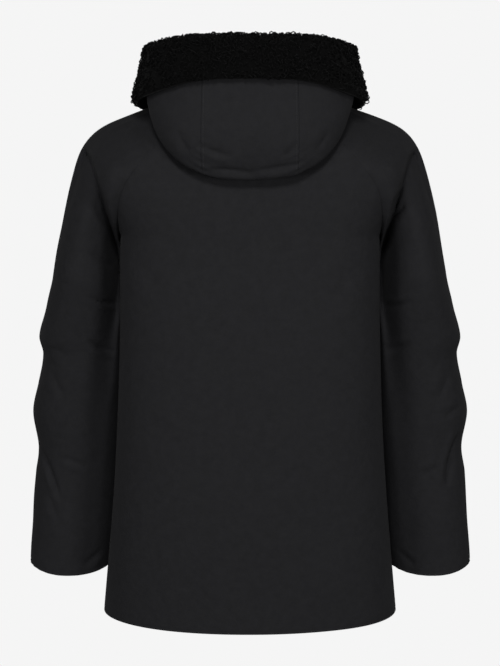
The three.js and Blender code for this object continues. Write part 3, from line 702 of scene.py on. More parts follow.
def ring_point(ring, angle, z):
    """Points of a hood ring at an angle from the middle of the back: a superellipse seen from above."""
    value = {key: RINGS[key][ring] for key in RINGS}
    turn = np.radians(angle)
    depth = np.maximum(1 - np.abs(np.sin(turn)) ** value["square"], 0) ** (1 / value["square"])
    y = value["middle"] + np.where(angle < 90, value["back"], -value["front"]) * depth
    return np.stack(np.broadcast_arrays(value["width"] * np.sin(turn), y, z), axis=-1)


def rim_point(angle):
    """Points of the hood's rim: the last ring at the rim's own height."""
    return ring_point(RIM, angle, looked_up(RIM_HEIGHTS, "angle", "z", angle))


def hood_columns(place, steps):
    """The hood's cloth at places round the neck edge, from there over its lower fold to the rim.

    Each column is a smooth path through the rings; towards the front they pass into a standing collar.
    """
    neck = neck_point(place) - (0, 0, NECK_LAP)
    angle = np.interp(place, NECK_PLACES, [0, BACK_SEAM_ANGLE, FRONT_SEAM_ANGLE, HOOD_FRONT_ANGLE])
    bag = (1 - smoothstep(angle, BAG_ENDS, COLLAR_STARTS))[:, None]
    turn = np.radians(angle)
    low = HOOD_BOTTOM + HOOD_SIDE_RISE * (1 - np.abs(np.cos(turn))) ** HOOD_SIDE_CURVE
    top = rim_point(angle)
    stations = [neck]
    for ring in range(RIM):
        down, up, stand = (RINGS[key][ring] for key in ("down", "up", "stand"))
        lift = HOOD_SHOULDER_LIFT * np.sin(turn) ** 2 * (down < 1)
        height = neck[:, 2] + (low - neck[:, 2]) * down + lift + (top[:, 2] - low) * up
        standing = neck + (top - neck) * stand
        stations.append(standing + (ring_point(ring, angle, height) - standing) * bag)
    return smooth_path(stations + [top], steps)


def hood_centre_grid():
    """The hood's middle panel from its left seam to its right one."""
    rows, columns, _ = HOOD_STEPS
    place = HOOD_SEAM_PLACE * (1 - 2 * eased_steps(columns))
    grid = hood_columns(np.abs(place), eased_steps(rows))
    grid[..., 0] *= np.sign(place)
    return grid


def hood_side_grid():
    """The hood's left side from the zip back to the seam."""
    rows, _, columns = HOOD_STEPS
    last = NECK_PLACES[-1]
    place = last + (HOOD_SEAM_PLACE - last) * eased_steps(columns)
    grid = hood_columns(place, eased_steps(rows))
    grid[:, -1] -= SEAM_LAP * unit(grid[:, -2] - grid[:, -1])
    return grid


def trim_grid():
    """Outer face of the fleece band: up from inside the rim, over it and down outside, round the hood."""
    rows, columns = TRIM_STEPS
    angle = TRIM_END_ANGLE * (2 * np.linspace(0, 1, columns + 1) - 1)
    turned, side = np.abs(angle), np.where(angle < 0, -1.0, 1.0)
    middle = rim_point(turned)
    run = rim_point(np.minimum(turned + 1, 179)) - rim_point(np.maximum(turned - 1, 0))
    outward = unit(np.stack([-run[:, 1], run[:, 0], np.zeros_like(turned)], axis=-1))
    hang, flare, tilt, inside = (
        looked_up(RIM_HEIGHTS, "angle", key, turned) for key in ("hang", "flare", "tilt", "inside")
    )
    sine, cosine = np.sin(np.radians(tilt)), np.cos(np.radians(tilt))

    def leg(down, off):
        """A point down the tilted inner side and off it, as distances out and up."""
        return -down * sine - off * cosine, -down * cosine + off * sine

    def even(value):
        """The same value at every angle."""
        return np.full_like(turned, value)

    begins, is_full, fades, ends = TRIM_CORNER_ANGLES
    at_corner = smoothstep(turned, begins, is_full) * (1 - smoothstep(turned, fades, ends))
    profile = [
        leg(inside, TRIM_INSIDE),
        leg(0.35 * inside, TRIM_INSIDE),
        leg(-TRIM_TURN_UP, TRIM_TURN_OUT),
        (-TRIM_TOP_TILTED * sine, TRIM_TOP_UP - TRIM_CORNER_DROP * at_corner),
        (even(TRIM_SHOULDER_OUT), even(TRIM_SHOULDER_UP)),
        (even(TRIM_OUTSIDE), -0.25 * hang),
        ((TRIM_OUTSIDE + flare) / 2, -0.6 * hang),
        (flare, -hang),
    ]
    stations = [middle + outward * out[:, None] + np.outer(up, (0, 0, 1)) for out, up in profile]
    grid = smooth_path(stations, np.linspace(0, 1, rows + 1))
    grid[..., 0] *= side
    return grid


def patch(index):
    """Four-cornered faces over a grid of point numbers, facing out where its columns run anticlockwise."""
    corners = index[:-1, :-1], index[:-1, 1:], index[1:, 1:], index[1:, :-1]
    return np.stack(corners, axis=-1).reshape(-1, 4)


def mesh_object(name, points, faces, uv=None):
    """A mesh from points in millimetres and arrays of faces, one array for each number of corners."""
    mesh = bpy.data.meshes.new(name)
    corners = np.concatenate([face.ravel() for face in faces]).astype(np.int32)
    sizes = np.concatenate([np.full(len(face), face.shape[1]) for face in faces])
    mesh.vertices.add(len(points))
    mesh.vertices.foreach_set("co", (np.asarray(points) * MM).astype(np.float32).ravel())
    mesh.loops.add(len(corners))
    mesh.loops.foreach_set("vertex_index", corners)
    mesh.polygons.add(len(sizes))
    mesh.polygons.foreach_set("loop_start", (np.cumsum(sizes) - sizes).astype(np.int32))
    mesh.update(calc_edges=True)
    mesh.polygons.foreach_set("use_smooth", np.ones(len(sizes), bool))
    if uv is not None:
        layer = mesh.uv_layers.new(name="cloth_lengths")
        layer.data.foreach_set("uv", (uv * MM).astype(np.float32).ravel())
    mesh.validate()
    made = bpy.data.objects.new(name, mesh)
    bpy.context.scene.collection.objects.link(made)
    return made


def wall(name, outer, inner, is_tube=False):
    """A closed wall between two grids, with strips round its free edges and arc lengths as its UV map."""
    rows, columns = outer.shape[:2]
    count = rows * columns
    index = np.arange(count).reshape(rows, columns)
    across, along = lengths_over(outer, is_tube)
    chart = np.arange(across.size).reshape(across.shape)
    if is_tube:
        index = closed_round(index)

    def shell(near, far):
        """Faces of both grids and of the strips between their edges."""
        strips = [
            patch(near),
            patch(far)[:, ::-1],
            patch(np.stack([far[0], near[0]])),
            patch(np.stack([near[-1], far[-1]])),
        ]
        if not is_tube:
            strips.append(patch(np.stack([near[:, 0], far[:, 0]])))
            strips.append(patch(np.stack([far[:, -1], near[:, -1]])))
        return np.concatenate(strips)

    lengths = np.stack([across.ravel(), along.ravel()], axis=-1)[shell(chart, chart)]
    points = np.concatenate([outer.reshape(-1, 3), inner.reshape(-1, 3)])
    return mesh_object(name, points, [shell(index, index + count)], lengths.reshape(-1, 2))


# Bands to the metre of a wave texture at scale 1, a little over three
BANDS_PER_METRE = 3.14


def linear(colour):
    """An sRGB hex colour as linear red, green and blue."""
    values = np.array([int(colour[k : k + 2], 16) / 255 for k in (1, 3, 5)])
    return tuple(np.where(values <= 0.04045, values / 12.92, ((values + 0.055) / 1.055) ** 2.4))


def colour(name, description, default):
    """A colour that a user would change."""
    return bpy.props.FloatVectorProperty(
        name=name, description=description, default=linear(default), subtype="COLOR", min=0, max=1
    )


def length(name, description, millimetres):
    """A length that a user would change."""
    return bpy.props.FloatProperty(
        name=name, description=description, default=millimetres * MM, min=0, unit="LENGTH", precision=4
    )


class ParkaSettings(bpy.types.PropertyGroup):
    """Sizes and colours that a user would change"""

    shell_colour: colour("Shell", "Colour of the woven shell cloth", "#252527")
    fleece_colour: colour("Fleece", "Colour of the curly fleece", "#070707")
    tape_colour: colour("Zip tape", "Colour of the zip's woven tape", "#18181a")
    metal_colour: colour("Zip slider", "Colour of the painted slider and pull", "#1d1d1f")
    thread_spacing: length("Thread spacing", "Drawn distance between the shell's threads", 1.1)
    unevenness: length("Unevenness", "Height of the cloth's broad slight waves", 0.9)
    pucker_height: length("Puckers", "Height of the ripples beside the seams", 0.45)
    curl_size: length("Curl size", "Radius of one curl of the fleece", 2.5)
    curl_count: bpy.props.IntProperty(
        name="Curls", description="Curls on each half of the fleece band", default=3600, min=0, max=4000
    )
    light: bpy.props.FloatProperty(
        name="Light", description="Strength of the studio light", default=1.0, min=0
    )


def add(tree, kind, inputs=(), **settings):
    """Adds a node, sets its properties, and sets or links each (socket, value or output) pair."""
    made = tree.nodes.new(kind)
    for key, value in settings.items():
        setattr(made, key, value)
    for socket, value in inputs:
        if isinstance(value, bpy.types.NodeSocket):
            tree.links.new(value, made.inputs[socket])
        else:
            made.inputs[socket].default_value = value
    return made


def new_material(name):
    """An empty material and its node tree."""
    made = bpy.data.materials.new(name)
    made.use_nodes = True
    made.node_tree.nodes.clear()
    return made, made.node_tree


def rgba(value, factor=1.0):
    """A colour made lighter or darker by a factor, with full opacity."""
    return (value[0] * factor, value[1] * factor, value[2] * factor, 1.0)


def shell_cloth(settings):
    """Tightly woven polyester shell: matte, with a faint even weave, small slubs and a dull soft sheen."""
    if "woven polyester shell" in bpy.data.materials:
        return bpy.data.materials["woven polyester shell"]
    made, tree = new_material("woven polyester shell")
    lengths = add(tree, "ShaderNodeUVMap", uv_map="cloth_lengths").outputs["UV"]
    place = add(tree, "ShaderNodeTexCoord").outputs["Object"]
    # The real threads are about 0.3 mm apart, too fine to show, so they are drawn coarser.
    threads = []
    for direction in ("X", "Y"):
        wave = add(tree, "ShaderNodeTexWave", [
            ("Vector", lengths),
            ("Scale", 1 / settings.thread_spacing / BANDS_PER_METRE),
            ("Distortion", 0.6),
            ("Detail", 1.0),
        ], bands_direction=direction)
        threads.append(wave.outputs["Fac"])
    weave = add(tree, "ShaderNodeMath", [(0, threads[0]), (1, threads[1])], operation="MAXIMUM")
    # Slubs about 3 mm apart
    slubs = add(tree, "ShaderNodeTexNoise", [("Vector", lengths), ("Scale", 300.0), ("Detail", 3.0)])
    relief = add(tree, "ShaderNodeMath", [
        (0, slubs.outputs["Fac"]),
        (1, 1.6),
        (2, weave.outputs[0]),
    ], operation="MULTIPLY_ADD")
    fine = add(tree, "ShaderNodeBump", [
        ("Strength", 0.5),
        ("Distance", 0.00012),
        ("Height", relief.outputs[0]),
    ])
    # The slight crumpling that handling leaves, about 15 mm from fold to fold
    crumple = add(tree, "ShaderNodeTexNoise", [
        ("Vector", place),
        ("Scale", 34.0),
        ("Detail", 4.0),
        ("Roughness", 0.62),
        ("Distortion", 0.7),
    ])
    bump = add(tree, "ShaderNodeBump", [
        ("Strength", 0.55),
        ("Distance", 0.0022),
        ("Height", crumple.outputs["Fac"]),
        ("Normal", fine.outputs["Normal"]),
    ])
    # Lighter and darker patches about 11 mm across
    clouds = add(tree, "ShaderNodeTexNoise", [
        ("Vector", place),
        ("Scale", 90.0),
        ("Detail", 6.0),
        ("Roughness", 0.75),
    ])
    spread = add(tree, "ShaderNodeMapRange", [
        ("Value", clouds.outputs["Fac"]),
        ("From Min", 0.3),
        ("From Max", 0.7),
    ])
    tone = add(tree, "ShaderNodeMix", [
        ("Factor", spread.outputs["Result"]),
        ("A", rgba(settings.shell_colour, 0.85)),
        ("B", rgba(settings.shell_colour, 1.15)),
    ], data_type="RGBA")
    rough = add(tree, "ShaderNodeMapRange", [
        ("Value", clouds.outputs["Fac"]),
        ("To Min", 0.74),
        ("To Max", 0.86),
    ])
    shader = add(tree, "ShaderNodeBsdfPrincipled", [
        ("Base Color", tone.outputs["Result"]),
        ("Roughness", rough.outputs["Result"]),
        ("Normal", bump.outputs["Normal"]),
        ("Specular IOR Level", 0.12),
        ("Sheen Weight", 0.02),
        ("Sheen Roughness", 0.5),
    ])
    add(tree, "ShaderNodeOutputMaterial", [("Surface", shader.outputs["BSDF"])])
    return made


def curly_fleece(settings):
    """Polyester bouclé pile: near black, no gloss at all, broken up by fine fibres."""
    if "curly fleece pile" in bpy.data.materials:
        return bpy.data.materials["curly fleece pile"]
    made, tree = new_material("curly fleece pile")
    place = add(tree, "ShaderNodeTexCoord").outputs["Object"]
    # Fibres about 0.4 mm apart within each curl, and clumps of them about 6 mm across
    fibres = add(tree, "ShaderNodeTexNoise", [("Vector", place), ("Scale", 1400.0), ("Detail", 3.0)])
    clumps = add(tree, "ShaderNodeTexNoise", [("Vector", place), ("Scale", 160.0), ("Detail", 2.0)])
    tone = add(tree, "ShaderNodeMix", [
        ("Factor", clumps.outputs["Fac"]),
        ("A", rgba(settings.fleece_colour, 0.6)),
        ("B", rgba(settings.fleece_colour, 1.5)),
    ], data_type="RGBA")
    bump = add(tree, "ShaderNodeBump", [
        ("Strength", 0.7),
        ("Distance", 0.0003),
        ("Height", fibres.outputs["Fac"]),
    ])
    shader = add(tree, "ShaderNodeBsdfPrincipled", [
        ("Base Color", tone.outputs["Result"]),
        ("Roughness", 1.0),
        ("Normal", bump.outputs["Normal"]),
        ("Specular IOR Level", 0.1),
        ("Sheen Weight", 0.03),
    ])
    add(tree, "ShaderNodeOutputMaterial", [("Surface", shader.outputs["BSDF"])])
    return made


def zip_tape(settings):
    """Woven polyester tape: a fine herringbone, matte."""
    made, tree = new_material("woven zip tape")
    place = add(tree, "ShaderNodeTexCoord").outputs["Object"]
    # Herringbone rows 1.6 mm wide on the real tape
    rows = add(tree, "ShaderNodeTexWave", [
        ("Vector", place),
        ("Scale", 1 / 0.0016 / BANDS_PER_METRE),
        ("Distortion", 1.5),
        ("Detail", 1.0),
    ], bands_direction="DIAGONAL")
    tone = add(tree, "ShaderNodeMix", [
        ("Factor", rows.outputs["Fac"]),
        ("A", rgba(settings.tape_colour, 0.75)),
        ("B", rgba(settings.tape_colour, 1.2)),
    ], data_type="RGBA")
    bump = add(tree, "ShaderNodeBump", [
        ("Strength", 0.5),
        ("Distance", 0.0002),
        ("Height", rows.outputs["Fac"]),
    ])
    shader = add(tree, "ShaderNodeBsdfPrincipled", [
        ("Base Color", tone.outputs["Result"]),
        ("Roughness", 0.9),
        ("Normal", bump.outputs["Normal"]),
    ])
    add(tree, "ShaderNodeOutputMaterial", [("Surface", shader.outputs["BSDF"])])
    return made


def painted_zinc(settings):
    """Die-cast zinc under black stoving paint: half gloss, with a faint orange peel and rubbed spots."""
    made, tree = new_material("painted zinc")
    place = add(tree, "ShaderNodeTexCoord").outputs["Object"]
    # Rubbed spots about 1.4 mm across, and orange peel half as coarse
    rubbed = add(tree, "ShaderNodeTexNoise", [("Vector", place), ("Scale", 700.0), ("Detail", 5.0)])
    peel = add(tree, "ShaderNodeTexNoise", [("Vector", place), ("Scale", 1500.0), ("Detail", 1.0)])
    tone = add(tree, "ShaderNodeMix", [
        ("Factor", rubbed.outputs["Fac"]),
        ("A", rgba(settings.metal_colour, 0.8)),
        ("B", rgba(settings.metal_colour, 1.5)),
    ], data_type="RGBA")
    rough = add(tree, "ShaderNodeMapRange", [
        ("Value", rubbed.outputs["Fac"]),
        ("To Min", 0.28),
        ("To Max", 0.5),
    ])
    bump = add(tree, "ShaderNodeBump", [
        ("Strength", 0.2),
        ("Distance", 0.00005),
        ("Height", peel.outputs["Fac"]),
    ])
    shader = add(tree, "ShaderNodeBsdfPrincipled", [
        ("Base Color", tone.outputs["Result"]),
        ("Roughness", rough.outputs["Result"]),
        ("Normal", bump.outputs["Normal"]),
        ("Coat Weight", 0.3),
        ("Coat Roughness", 0.3),
    ])
    add(tree, "ShaderNodeOutputMaterial", [("Surface", shader.outputs["BSDF"])])
    return made


def moulded_acetal(settings):
    """Injection-moulded acetal teeth: smooth black plastic with a slight grain."""
    made, tree = new_material("moulded acetal")
    place = add(tree, "ShaderNodeTexCoord").outputs["Object"]
    # Grain about 0.4 mm across
    grain = add(tree, "ShaderNodeTexNoise", [("Vector", place), ("Scale", 2500.0), ("Detail", 2.0)])
    rough = add(tree, "ShaderNodeMapRange", [
        ("Value", grain.outputs["Fac"]),
        ("To Min", 0.32),
        ("To Max", 0.48),
    ])
    bump = add(tree, "ShaderNodeBump", [
        ("Strength", 0.15),
        ("Distance", 0.00003),
        ("Height", grain.outputs["Fac"]),
    ])
    shader = add(tree, "ShaderNodeBsdfPrincipled", [
        ("Base Color", rgba(settings.tape_colour)),
        ("Roughness", rough.outputs["Result"]),
        ("Normal", bump.outputs["Normal"]),
        ("IOR", 1.48),
    ])
    add(tree, "ShaderNodeOutputMaterial", [("Surface", shader.outputs["BSDF"])])
    return made


def sewing_thread(settings):
    """Twisted polyester sewing thread in the shell's colour, a little glossier than the cloth."""
    made, tree = new_material("sewing thread")
    place = add(tree, "ShaderNodeTexCoord").outputs["Object"]
    # Plies 0.5 mm apart along the thread
    plies = add(tree, "ShaderNodeTexWave", [
        ("Vector", place),
        ("Scale", 1 / 0.0005 / BANDS_PER_METRE),
        ("Distortion", 0.5),
    ], bands_direction="DIAGONAL")
    bump = add(tree, "ShaderNodeBump", [
        ("Strength", 0.4),
        ("Distance", 0.00006),
        ("Height", plies.outputs["Fac"]),
    ])
    shader = add(tree, "ShaderNodeBsdfPrincipled", [
        ("Base Color", rgba(settings.shell_colour, 1.15)),
        ("Roughness", 0.55),
        ("Normal", bump.outputs["Normal"]),
    ])
    add(tree, "ShaderNodeOutputMaterial", [("Surface", shader.outputs["BSDF"])])
    return made


def use_material(made, material):
    """Gives an object this material and no other."""
    made.data.materials.clear()
    made.data.materials.append(material)


def cloth_area(made):
    """Area of a wall's outer face in square metres: half of its whole surface."""
    areas = np.zeros(len(made.data.polygons), np.float32)
    made.data.polygons.foreach_get("area", areas)
    return float(areas.sum()) / 2


def cloth_piece(name, node, grid, depth, is_tube=False, is_hemmed=True, normals=None):
    """A cloth wall over a grid pressed in by a depth, in its node's place."""
    if normals is None:
        normals = normals_of(grid, is_tube)
    first, last, up, down = from_edges(grid, is_tube)
    edge = np.minimum(up, down)
    if not is_tube:
        edge = np.minimum(edge, np.minimum(first, last))
    seam, hem = (SEWN_EDGE, HEMMED_EDGE) if is_hemmed else (HOOD_SEAM_EDGE, SEWN_EDGE)
    turned = np.maximum(turned_edge(edge, seam), turned_edge(up, hem))
    outer = grid - normals * (depth + turned)[..., None]
    inner = grid - normals * (CLOTH + depth * smoothstep(edge, 0, EVEN_EDGE))[..., None]
    made = wall(name, outer, inner, is_tube)
    use_material(made, shell_cloth(bpy.context.scene.parka))
    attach(made, BODY)
    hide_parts(node)
    return made


def declare_sheet(made, flat):
    """Works out the cut's area, that of the cloth itself but no more than flat's width times length in
    metres, and keeps it nowhere.
    """
    area = min(cloth_area(made), flat[0] * flat[1])


class PARKA_OT_body(bpy.types.Operator):
    """Makes the back and the two fronts"""

    bl_idname = "parka.body"
    bl_label = "Back and fronts"

    def execute(self, context):
        grid = eased_over(back_grid(), 4)
        normals = normals_of(grid)
        left, right, hem, _ = from_edges(grid)
        depth = crease_depth(grid, normals, BACK_BODY, 1)
        depth += broad_waves(grid, 150, 11, np.minimum(left, right)) + stitched_line(hem)
        depth += seam_puckers(left, hem, 21) + seam_puckers(right, hem, 22)
        back = cloth_piece("back_cloth", "back", grid, depth)
        declare_sheet(back, (0.58, 0.80))
        for side, seed in (("left", 31), ("right", 41)):
            grid = eased_over(front_grid(), 4)
            if side == "right":
                grid = mirrored(grid)
            normals = normals_of(grid)
            first, last, hem, _ = from_edges(grid)
            depth = crease_depth(grid, normals, FRONT_BODY, -1)
            depth += broad_waves(grid, 140, seed, np.minimum(first, last)) + stitched_line(hem)
            depth += seam_puckers(first, hem, seed + 1) + seam_puckers(last, hem, seed + 2)
            front = cloth_piece(f"front_{side}_cloth", f"front_{side}", grid, depth)
            declare_sheet(front, (0.34, 0.78))
        return {"FINISHED"}


class PARKA_OT_sleeves(bpy.types.Operator):
    """Makes the two raglan sleeves"""

    bl_idname = "parka.sleeves"
    bl_label = "Sleeves"

    def execute(self, context):
        sides = (
            ("left", BACK_LEFT_ARM, FRONT_LEFT_ARM, 51),
            ("right", BACK_RIGHT_ARM, FRONT_RIGHT_ARM, 61),
        )
        for side, on_back, on_front, seed in sides:
            grid = sleeve_grid()
            normals = sleeve_normals(grid)
            if side == "right":
                grid, normals = mirrored(grid), mirrored(normals)
            round_it, _, up, down = from_edges(grid, True)
            depth = crease_depth(grid, normals, on_back, 1) + crease_depth(grid, normals, on_front, -1)
            depth += 1.3 * broad_waves(grid, 95, seed, down)
            depth += seam_puckers(down, round_it, seed + 1)
            depth += seam_puckers(up, round_it, seed + 2, 16, 10)
            depth += stitched_line(up)
            sleeve = cloth_piece(f"sleeve_{side}_cloth", f"sleeve_{side}", grid, depth, True, True, normals)
            declare_sheet(sleeve, (0.52, 0.74))
        return {"FINISHED"}


class PARKA_OT_hood(bpy.types.Operator):
    """Makes the lowered hood's three panels"""

    bl_idname = "parka.hood"
    bl_label = "Hood"

    def execute(self, context):
        grid = hood_centre_grid()
        normals = normals_of(grid)
        left, right, up, _ = from_edges(grid)
        depth = crease_depth(grid, normals, HOOD_BACK, 1)
        depth += 0.8 * broad_waves(grid, 70, 71, 1.5 * np.minimum(left, right))
        depth += 2.2 * (seam_puckers(left, up, 72, 11, 10) + seam_puckers(right, up, 73, 11, 10))
        centre = cloth_piece("hood_centre_cloth", "hood_centre", grid, depth, is_hemmed=False)
        declare_sheet(centre, (0.16, 0.40))
        for side, seed in (("left", 81), ("right", 91)):
            grid = hood_side_grid() if side == "left" else mirrored(hood_side_grid())
            normals = normals_of(grid)
            first, last, up, _ = from_edges(grid)
            seam = last if side == "left" else first
            depth = crease_depth(grid, normals, HOOD_BACK, 1)
            depth += 0.8 * broad_waves(grid, 70, seed, 1.5 * np.minimum(first, last))
            depth += 2.2 * seam_puckers(seam, up, seed + 1, 11, 10)
            made = cloth_piece(f"hood_side_{side}_cloth", f"hood_side_{side}", grid, depth, is_hemmed=False)
            declare_sheet(made, (0.42, 0.40))
        return {"FINISHED"}


def lumps(across, along, size, seed):
    """Rounded lumps on a jittered lattice, 0 to 1: one less the squared distance to the nearest centre."""
    rng = np.random.default_rng(seed)
    cells = 256
    jitter = rng.uniform(-LUMP_SHIFT, LUMP_SHIFT, (cells, cells, 2))
    u, v = across / size, along / size
    nearest = np.full(u.shape, 4.0)
    for du in (-1, 0, 1):
        for dv in (-1, 0, 1):
            i, j = np.floor(u).astype(int) + du, np.floor(v).astype(int) + dv
            shift = jitter[i % cells, j % cells]
            gap = (i + 0.5 + shift[..., 0] - u) ** 2 + (j + 0.5 + shift[..., 1] - v) ** 2
            nearest = np.minimum(nearest, gap)
    return 1 - np.minimum(nearest, 1)


def bilinear(grid, i, j):
    """Values of a grid at fractional rows and columns."""
    rows, columns = grid.shape[:2]
    a, b = np.minimum(i.astype(int), rows - 2), np.minimum(j.astype(int), columns - 2)
    f, g = (i - a)[:, None], (j - b)[:, None]
    low = grid[a, b] * (1 - g) + grid[a, b + 1] * g
    high = grid[a + 1, b] * (1 - g) + grid[a + 1, b + 1] * g
    return low * (1 - f) + high * f


def curl_template():
    """One curl: a three-sided tube along a helix of about one turn, closed to a point at both ends."""
    rings, sides = 8, 3
    pitch, thickness, thin_end = 0.32, 0.34, 0.35
    turn = np.linspace(-0.35, 1.75, rings) * math.pi
    middle = np.stack([np.cos(turn), pitch * (turn - 2) / math.pi, np.sin(turn)], axis=-1)
    outward = np.stack([np.cos(turn), np.zeros(rings), np.sin(turn)], axis=-1)
    sideways = np.array([0.0, 1.0, 0.0])
    thick = thickness * np.sin(np.linspace(thin_end, math.pi - thin_end, rings)) ** 0.5
    angle = np.arange(sides) * 2 * math.pi / sides
    ring = outward[:, None] * np.cos(angle)[:, None] + sideways * np.sin(angle)[:, None]
    tube = middle[:, None] + ring * thick[:, None, None]
    ends = np.stack([2 * middle[0] - middle[1], 2 * middle[-1] - middle[-2]]) * 0.3
    ends += np.stack([middle[0], middle[-1]]) * 0.7
    points = np.concatenate([tube.reshape(-1, 3), ends])
    index = closed_round(np.arange(rings * sides).reshape(rings, sides))
    first, last = rings * sides, rings * sides + 1
    low = np.stack([index[0, 1:], index[0, :-1], np.full(sides, first)], axis=-1)
    high = np.stack([index[-1, :-1], index[-1, 1:], np.full(sides, last)], axis=-1)
    return points, [patch(index), np.concatenate([low, high])]


def swarm(name, template, origins, axes, sizes):
    """One mesh of many copies of a template, each at its own origin, axes and sizes."""
    points, faces = template
    scaled = points[None] * sizes[:, None]
    placed = origins[:, None] + np.einsum("npk,nkc->npc", scaled, axes)
    shifts = (np.arange(len(origins)) * len(points))[:, None, None]
    spread = [(face[None] + shifts).reshape(-1, face.shape[1]) for face in faces]
    return mesh_object(name, placed.reshape(-1, 3), spread)


class PARKA_OT_fleece(bpy.types.Operator):
    """Makes the folded fleece band and its curls"""

    bl_idname = "parka.fleece"
    bl_label = "Fleece band"

    def execute(self, context):
        settings = context.scene.parka
        grid = trim_grid()
        normals = normals_of(grid)
        first, last, up, down = from_edges(grid)
        edge = np.minimum(np.minimum(first, last), np.minimum(up, down))
        heap = lumps(first, up, SMALL_LUMP, 101) + BROAD_LUMP_SHARE * lumps(first, up, BROAD_LUMP, 102)
        raised = LUMP_HEIGHT * heap - LUMPS_SUNK - turned_edge(edge, FLEECE_EDGE)
        outer = grid + normals * raised[..., None]
        inner = grid - normals * FLEECE
        band = wall("hood_fleece", outer, inner)
        fleece = curly_fleece(settings)
        use_material(band, fleece)
        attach(band, BODY)
        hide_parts("hood_trim")
        rng = np.random.default_rng(103)
        rows, columns = outer.shape[:2]
        count, half = settings.curl_count, (columns - 1) / 2
        for side in ("right", "left"):
            i = rng.uniform(0, rows - 1, count)
            j = rng.uniform(0, half, count) + (half if side == "left" else 0)
            base, normal = bilinear(outer, i, j), unit(bilinear(normals, i, j))
            wild = unit(rng.normal(size=(count, 3)))
            along = unit(np.cross(normal, wild))
            normal = unit(normal + CURL_LEAN * rng.normal(size=(count, 3)))
            along = unit(along - (along * normal).sum(-1, keepdims=True) * normal)
            axes = np.stack([along, np.cross(normal, along), normal], axis=1)
            size = settings.curl_size / MM * rng.uniform(*CURL_SIZES, (count, 1)) * np.ones((1, 3))
            lift = normal * size[:, :1] * rng.uniform(*CURL_LIFTS, (count, 1))
            made = swarm(f"fleece_curls_{side}", curl_template(), base + lift, axes, size)
            use_material(made, fleece)
            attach(made, BODY)
        return {"FINISHED"}


def zip_path():
    """The zip's middle line on its tapes' outer face, from the hem up, as points and outward directions.

    It follows the fronts beside the middle, then the collar's last columns, and lies a tape's depth inside.
    """
    low = UNDERARM_ROW * np.arange(TAPE_ROWS) / TAPE_ROWS
    high = UNDERARM_ROW + (NECK_ROW - UNDERARM_ROW) * np.arange(TAPE_ROWS + 1) / TAPE_ROWS
    place = np.concatenate([low, high])
    body = panel(FRONT_ROWS, place, TAPE_EDGE / between(FRONT_ROWS, "edge_x", place))
    steps = np.arange(1, COLLAR_TAPE_ROWS + 1) / COLLAR_ROWS
    last = NECK_PLACES[-1]
    beside, edge = np.moveaxis(hood_columns(np.array([last - 1, last]), steps), 1, 0)
    share = ((TAPE_EDGE - edge[:, 0]) / (beside[:, 0] - edge[:, 0]))[:, None]
    line = np.concatenate([body, edge + (beside - edge) * share])
    line[:, 0] = 0
    run = unit(np.diff(line, axis=0))
    along = unit(np.concatenate([run[:1], run[:-1] + run[1:], run[-1:]]))
    inward = np.stack([np.zeros(len(line)), along[:, 2], -along[:, 1]], axis=-1)
    bend = np.concatenate([[1], (run[:-1] * run[1:]).sum(-1), [1]])
    mitre = TAPE_DEPTH / np.sqrt((1 + np.clip(bend, 0, 1)) / 2)
    return line + inward * mitre[:, None], -inward


def block_template():
    """A moulded block with its upper edges chamfered, one unit long each way, standing on its middle."""
    square = np.array([[-0.5, -0.5], [0.5, -0.5], [0.5, 0.5], [-0.5, 0.5]])
    layers = [(1, 0), (1, 0.7), (0.72, 1)]
    points = np.concatenate([np.column_stack([square * wide, np.full(4, high)]) for wide, high in layers])
    index = closed_round(np.arange(12).reshape(3, 4))
    caps = np.array([[3, 2, 1, 0], [8, 9, 10, 11]])
    return points, [np.concatenate([patch(index), caps])]


class PARKA_OT_zip(bpy.types.Operator):
    """Makes the zip's teeth and finishes its tapes, slider and pull"""

    bl_idname = "parka.zip"
    bl_label = "Zip"

    def execute(self, context):
        settings = context.scene.parka
        line, outward = zip_path()
        reached = line_lengths(line)
        slider_low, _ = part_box("zip_slider")
        end = np.interp(slider_low[2] / MM, line[:, 2], reached) - TEETH_END_BELOW_SLIDER
        at = np.arange(TEETH_BEGIN, end, TOOTH_PITCH)
        origin = line_at(at, reached, line)
        out = unit(line_at(at, reached, outward))
        across = np.tile([1.0, 0, 0], (len(at), 1))
        along = np.cross(out, across)
        origin[:, 0] = np.where(np.arange(len(at)) % 2, TOOTH_OFF_MIDDLE, -TOOTH_OFF_MIDDLE)
        sizes = np.tile(TOOTH_SIZE, (len(at), 1))
        # The box at the lower end stands as the first tooth does
        foot = line_at(ZIP_BOX_PLACE, reached, line)
        origin = np.concatenate([origin - TEETH_SUNK * out, foot[None] - TEETH_SUNK * out[:1]])
        axes = np.stack([across, along, out], axis=1)
        axes = np.concatenate([axes, axes[:1]])
        sizes = np.concatenate([sizes, [ZIP_BOX_SIZE]])
        teeth = swarm("zip_teeth", block_template(), origin, axes, sizes)
        teeth.data.polygons.foreach_set("use_smooth", np.zeros(len(teeth.data.polygons), bool))
        use_material(teeth, moulded_acetal(settings))
        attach(teeth, BODY)
        tape, zinc = zip_tape(settings), painted_zinc(settings)
        for node, material in (
            ("zip_tape_left", tape),
            ("zip_tape_right", tape),
            ("zip_slider", zinc),
            ("zip_pull", zinc),
        ):
            use_material(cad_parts[node], material)
        return {"FINISHED"}


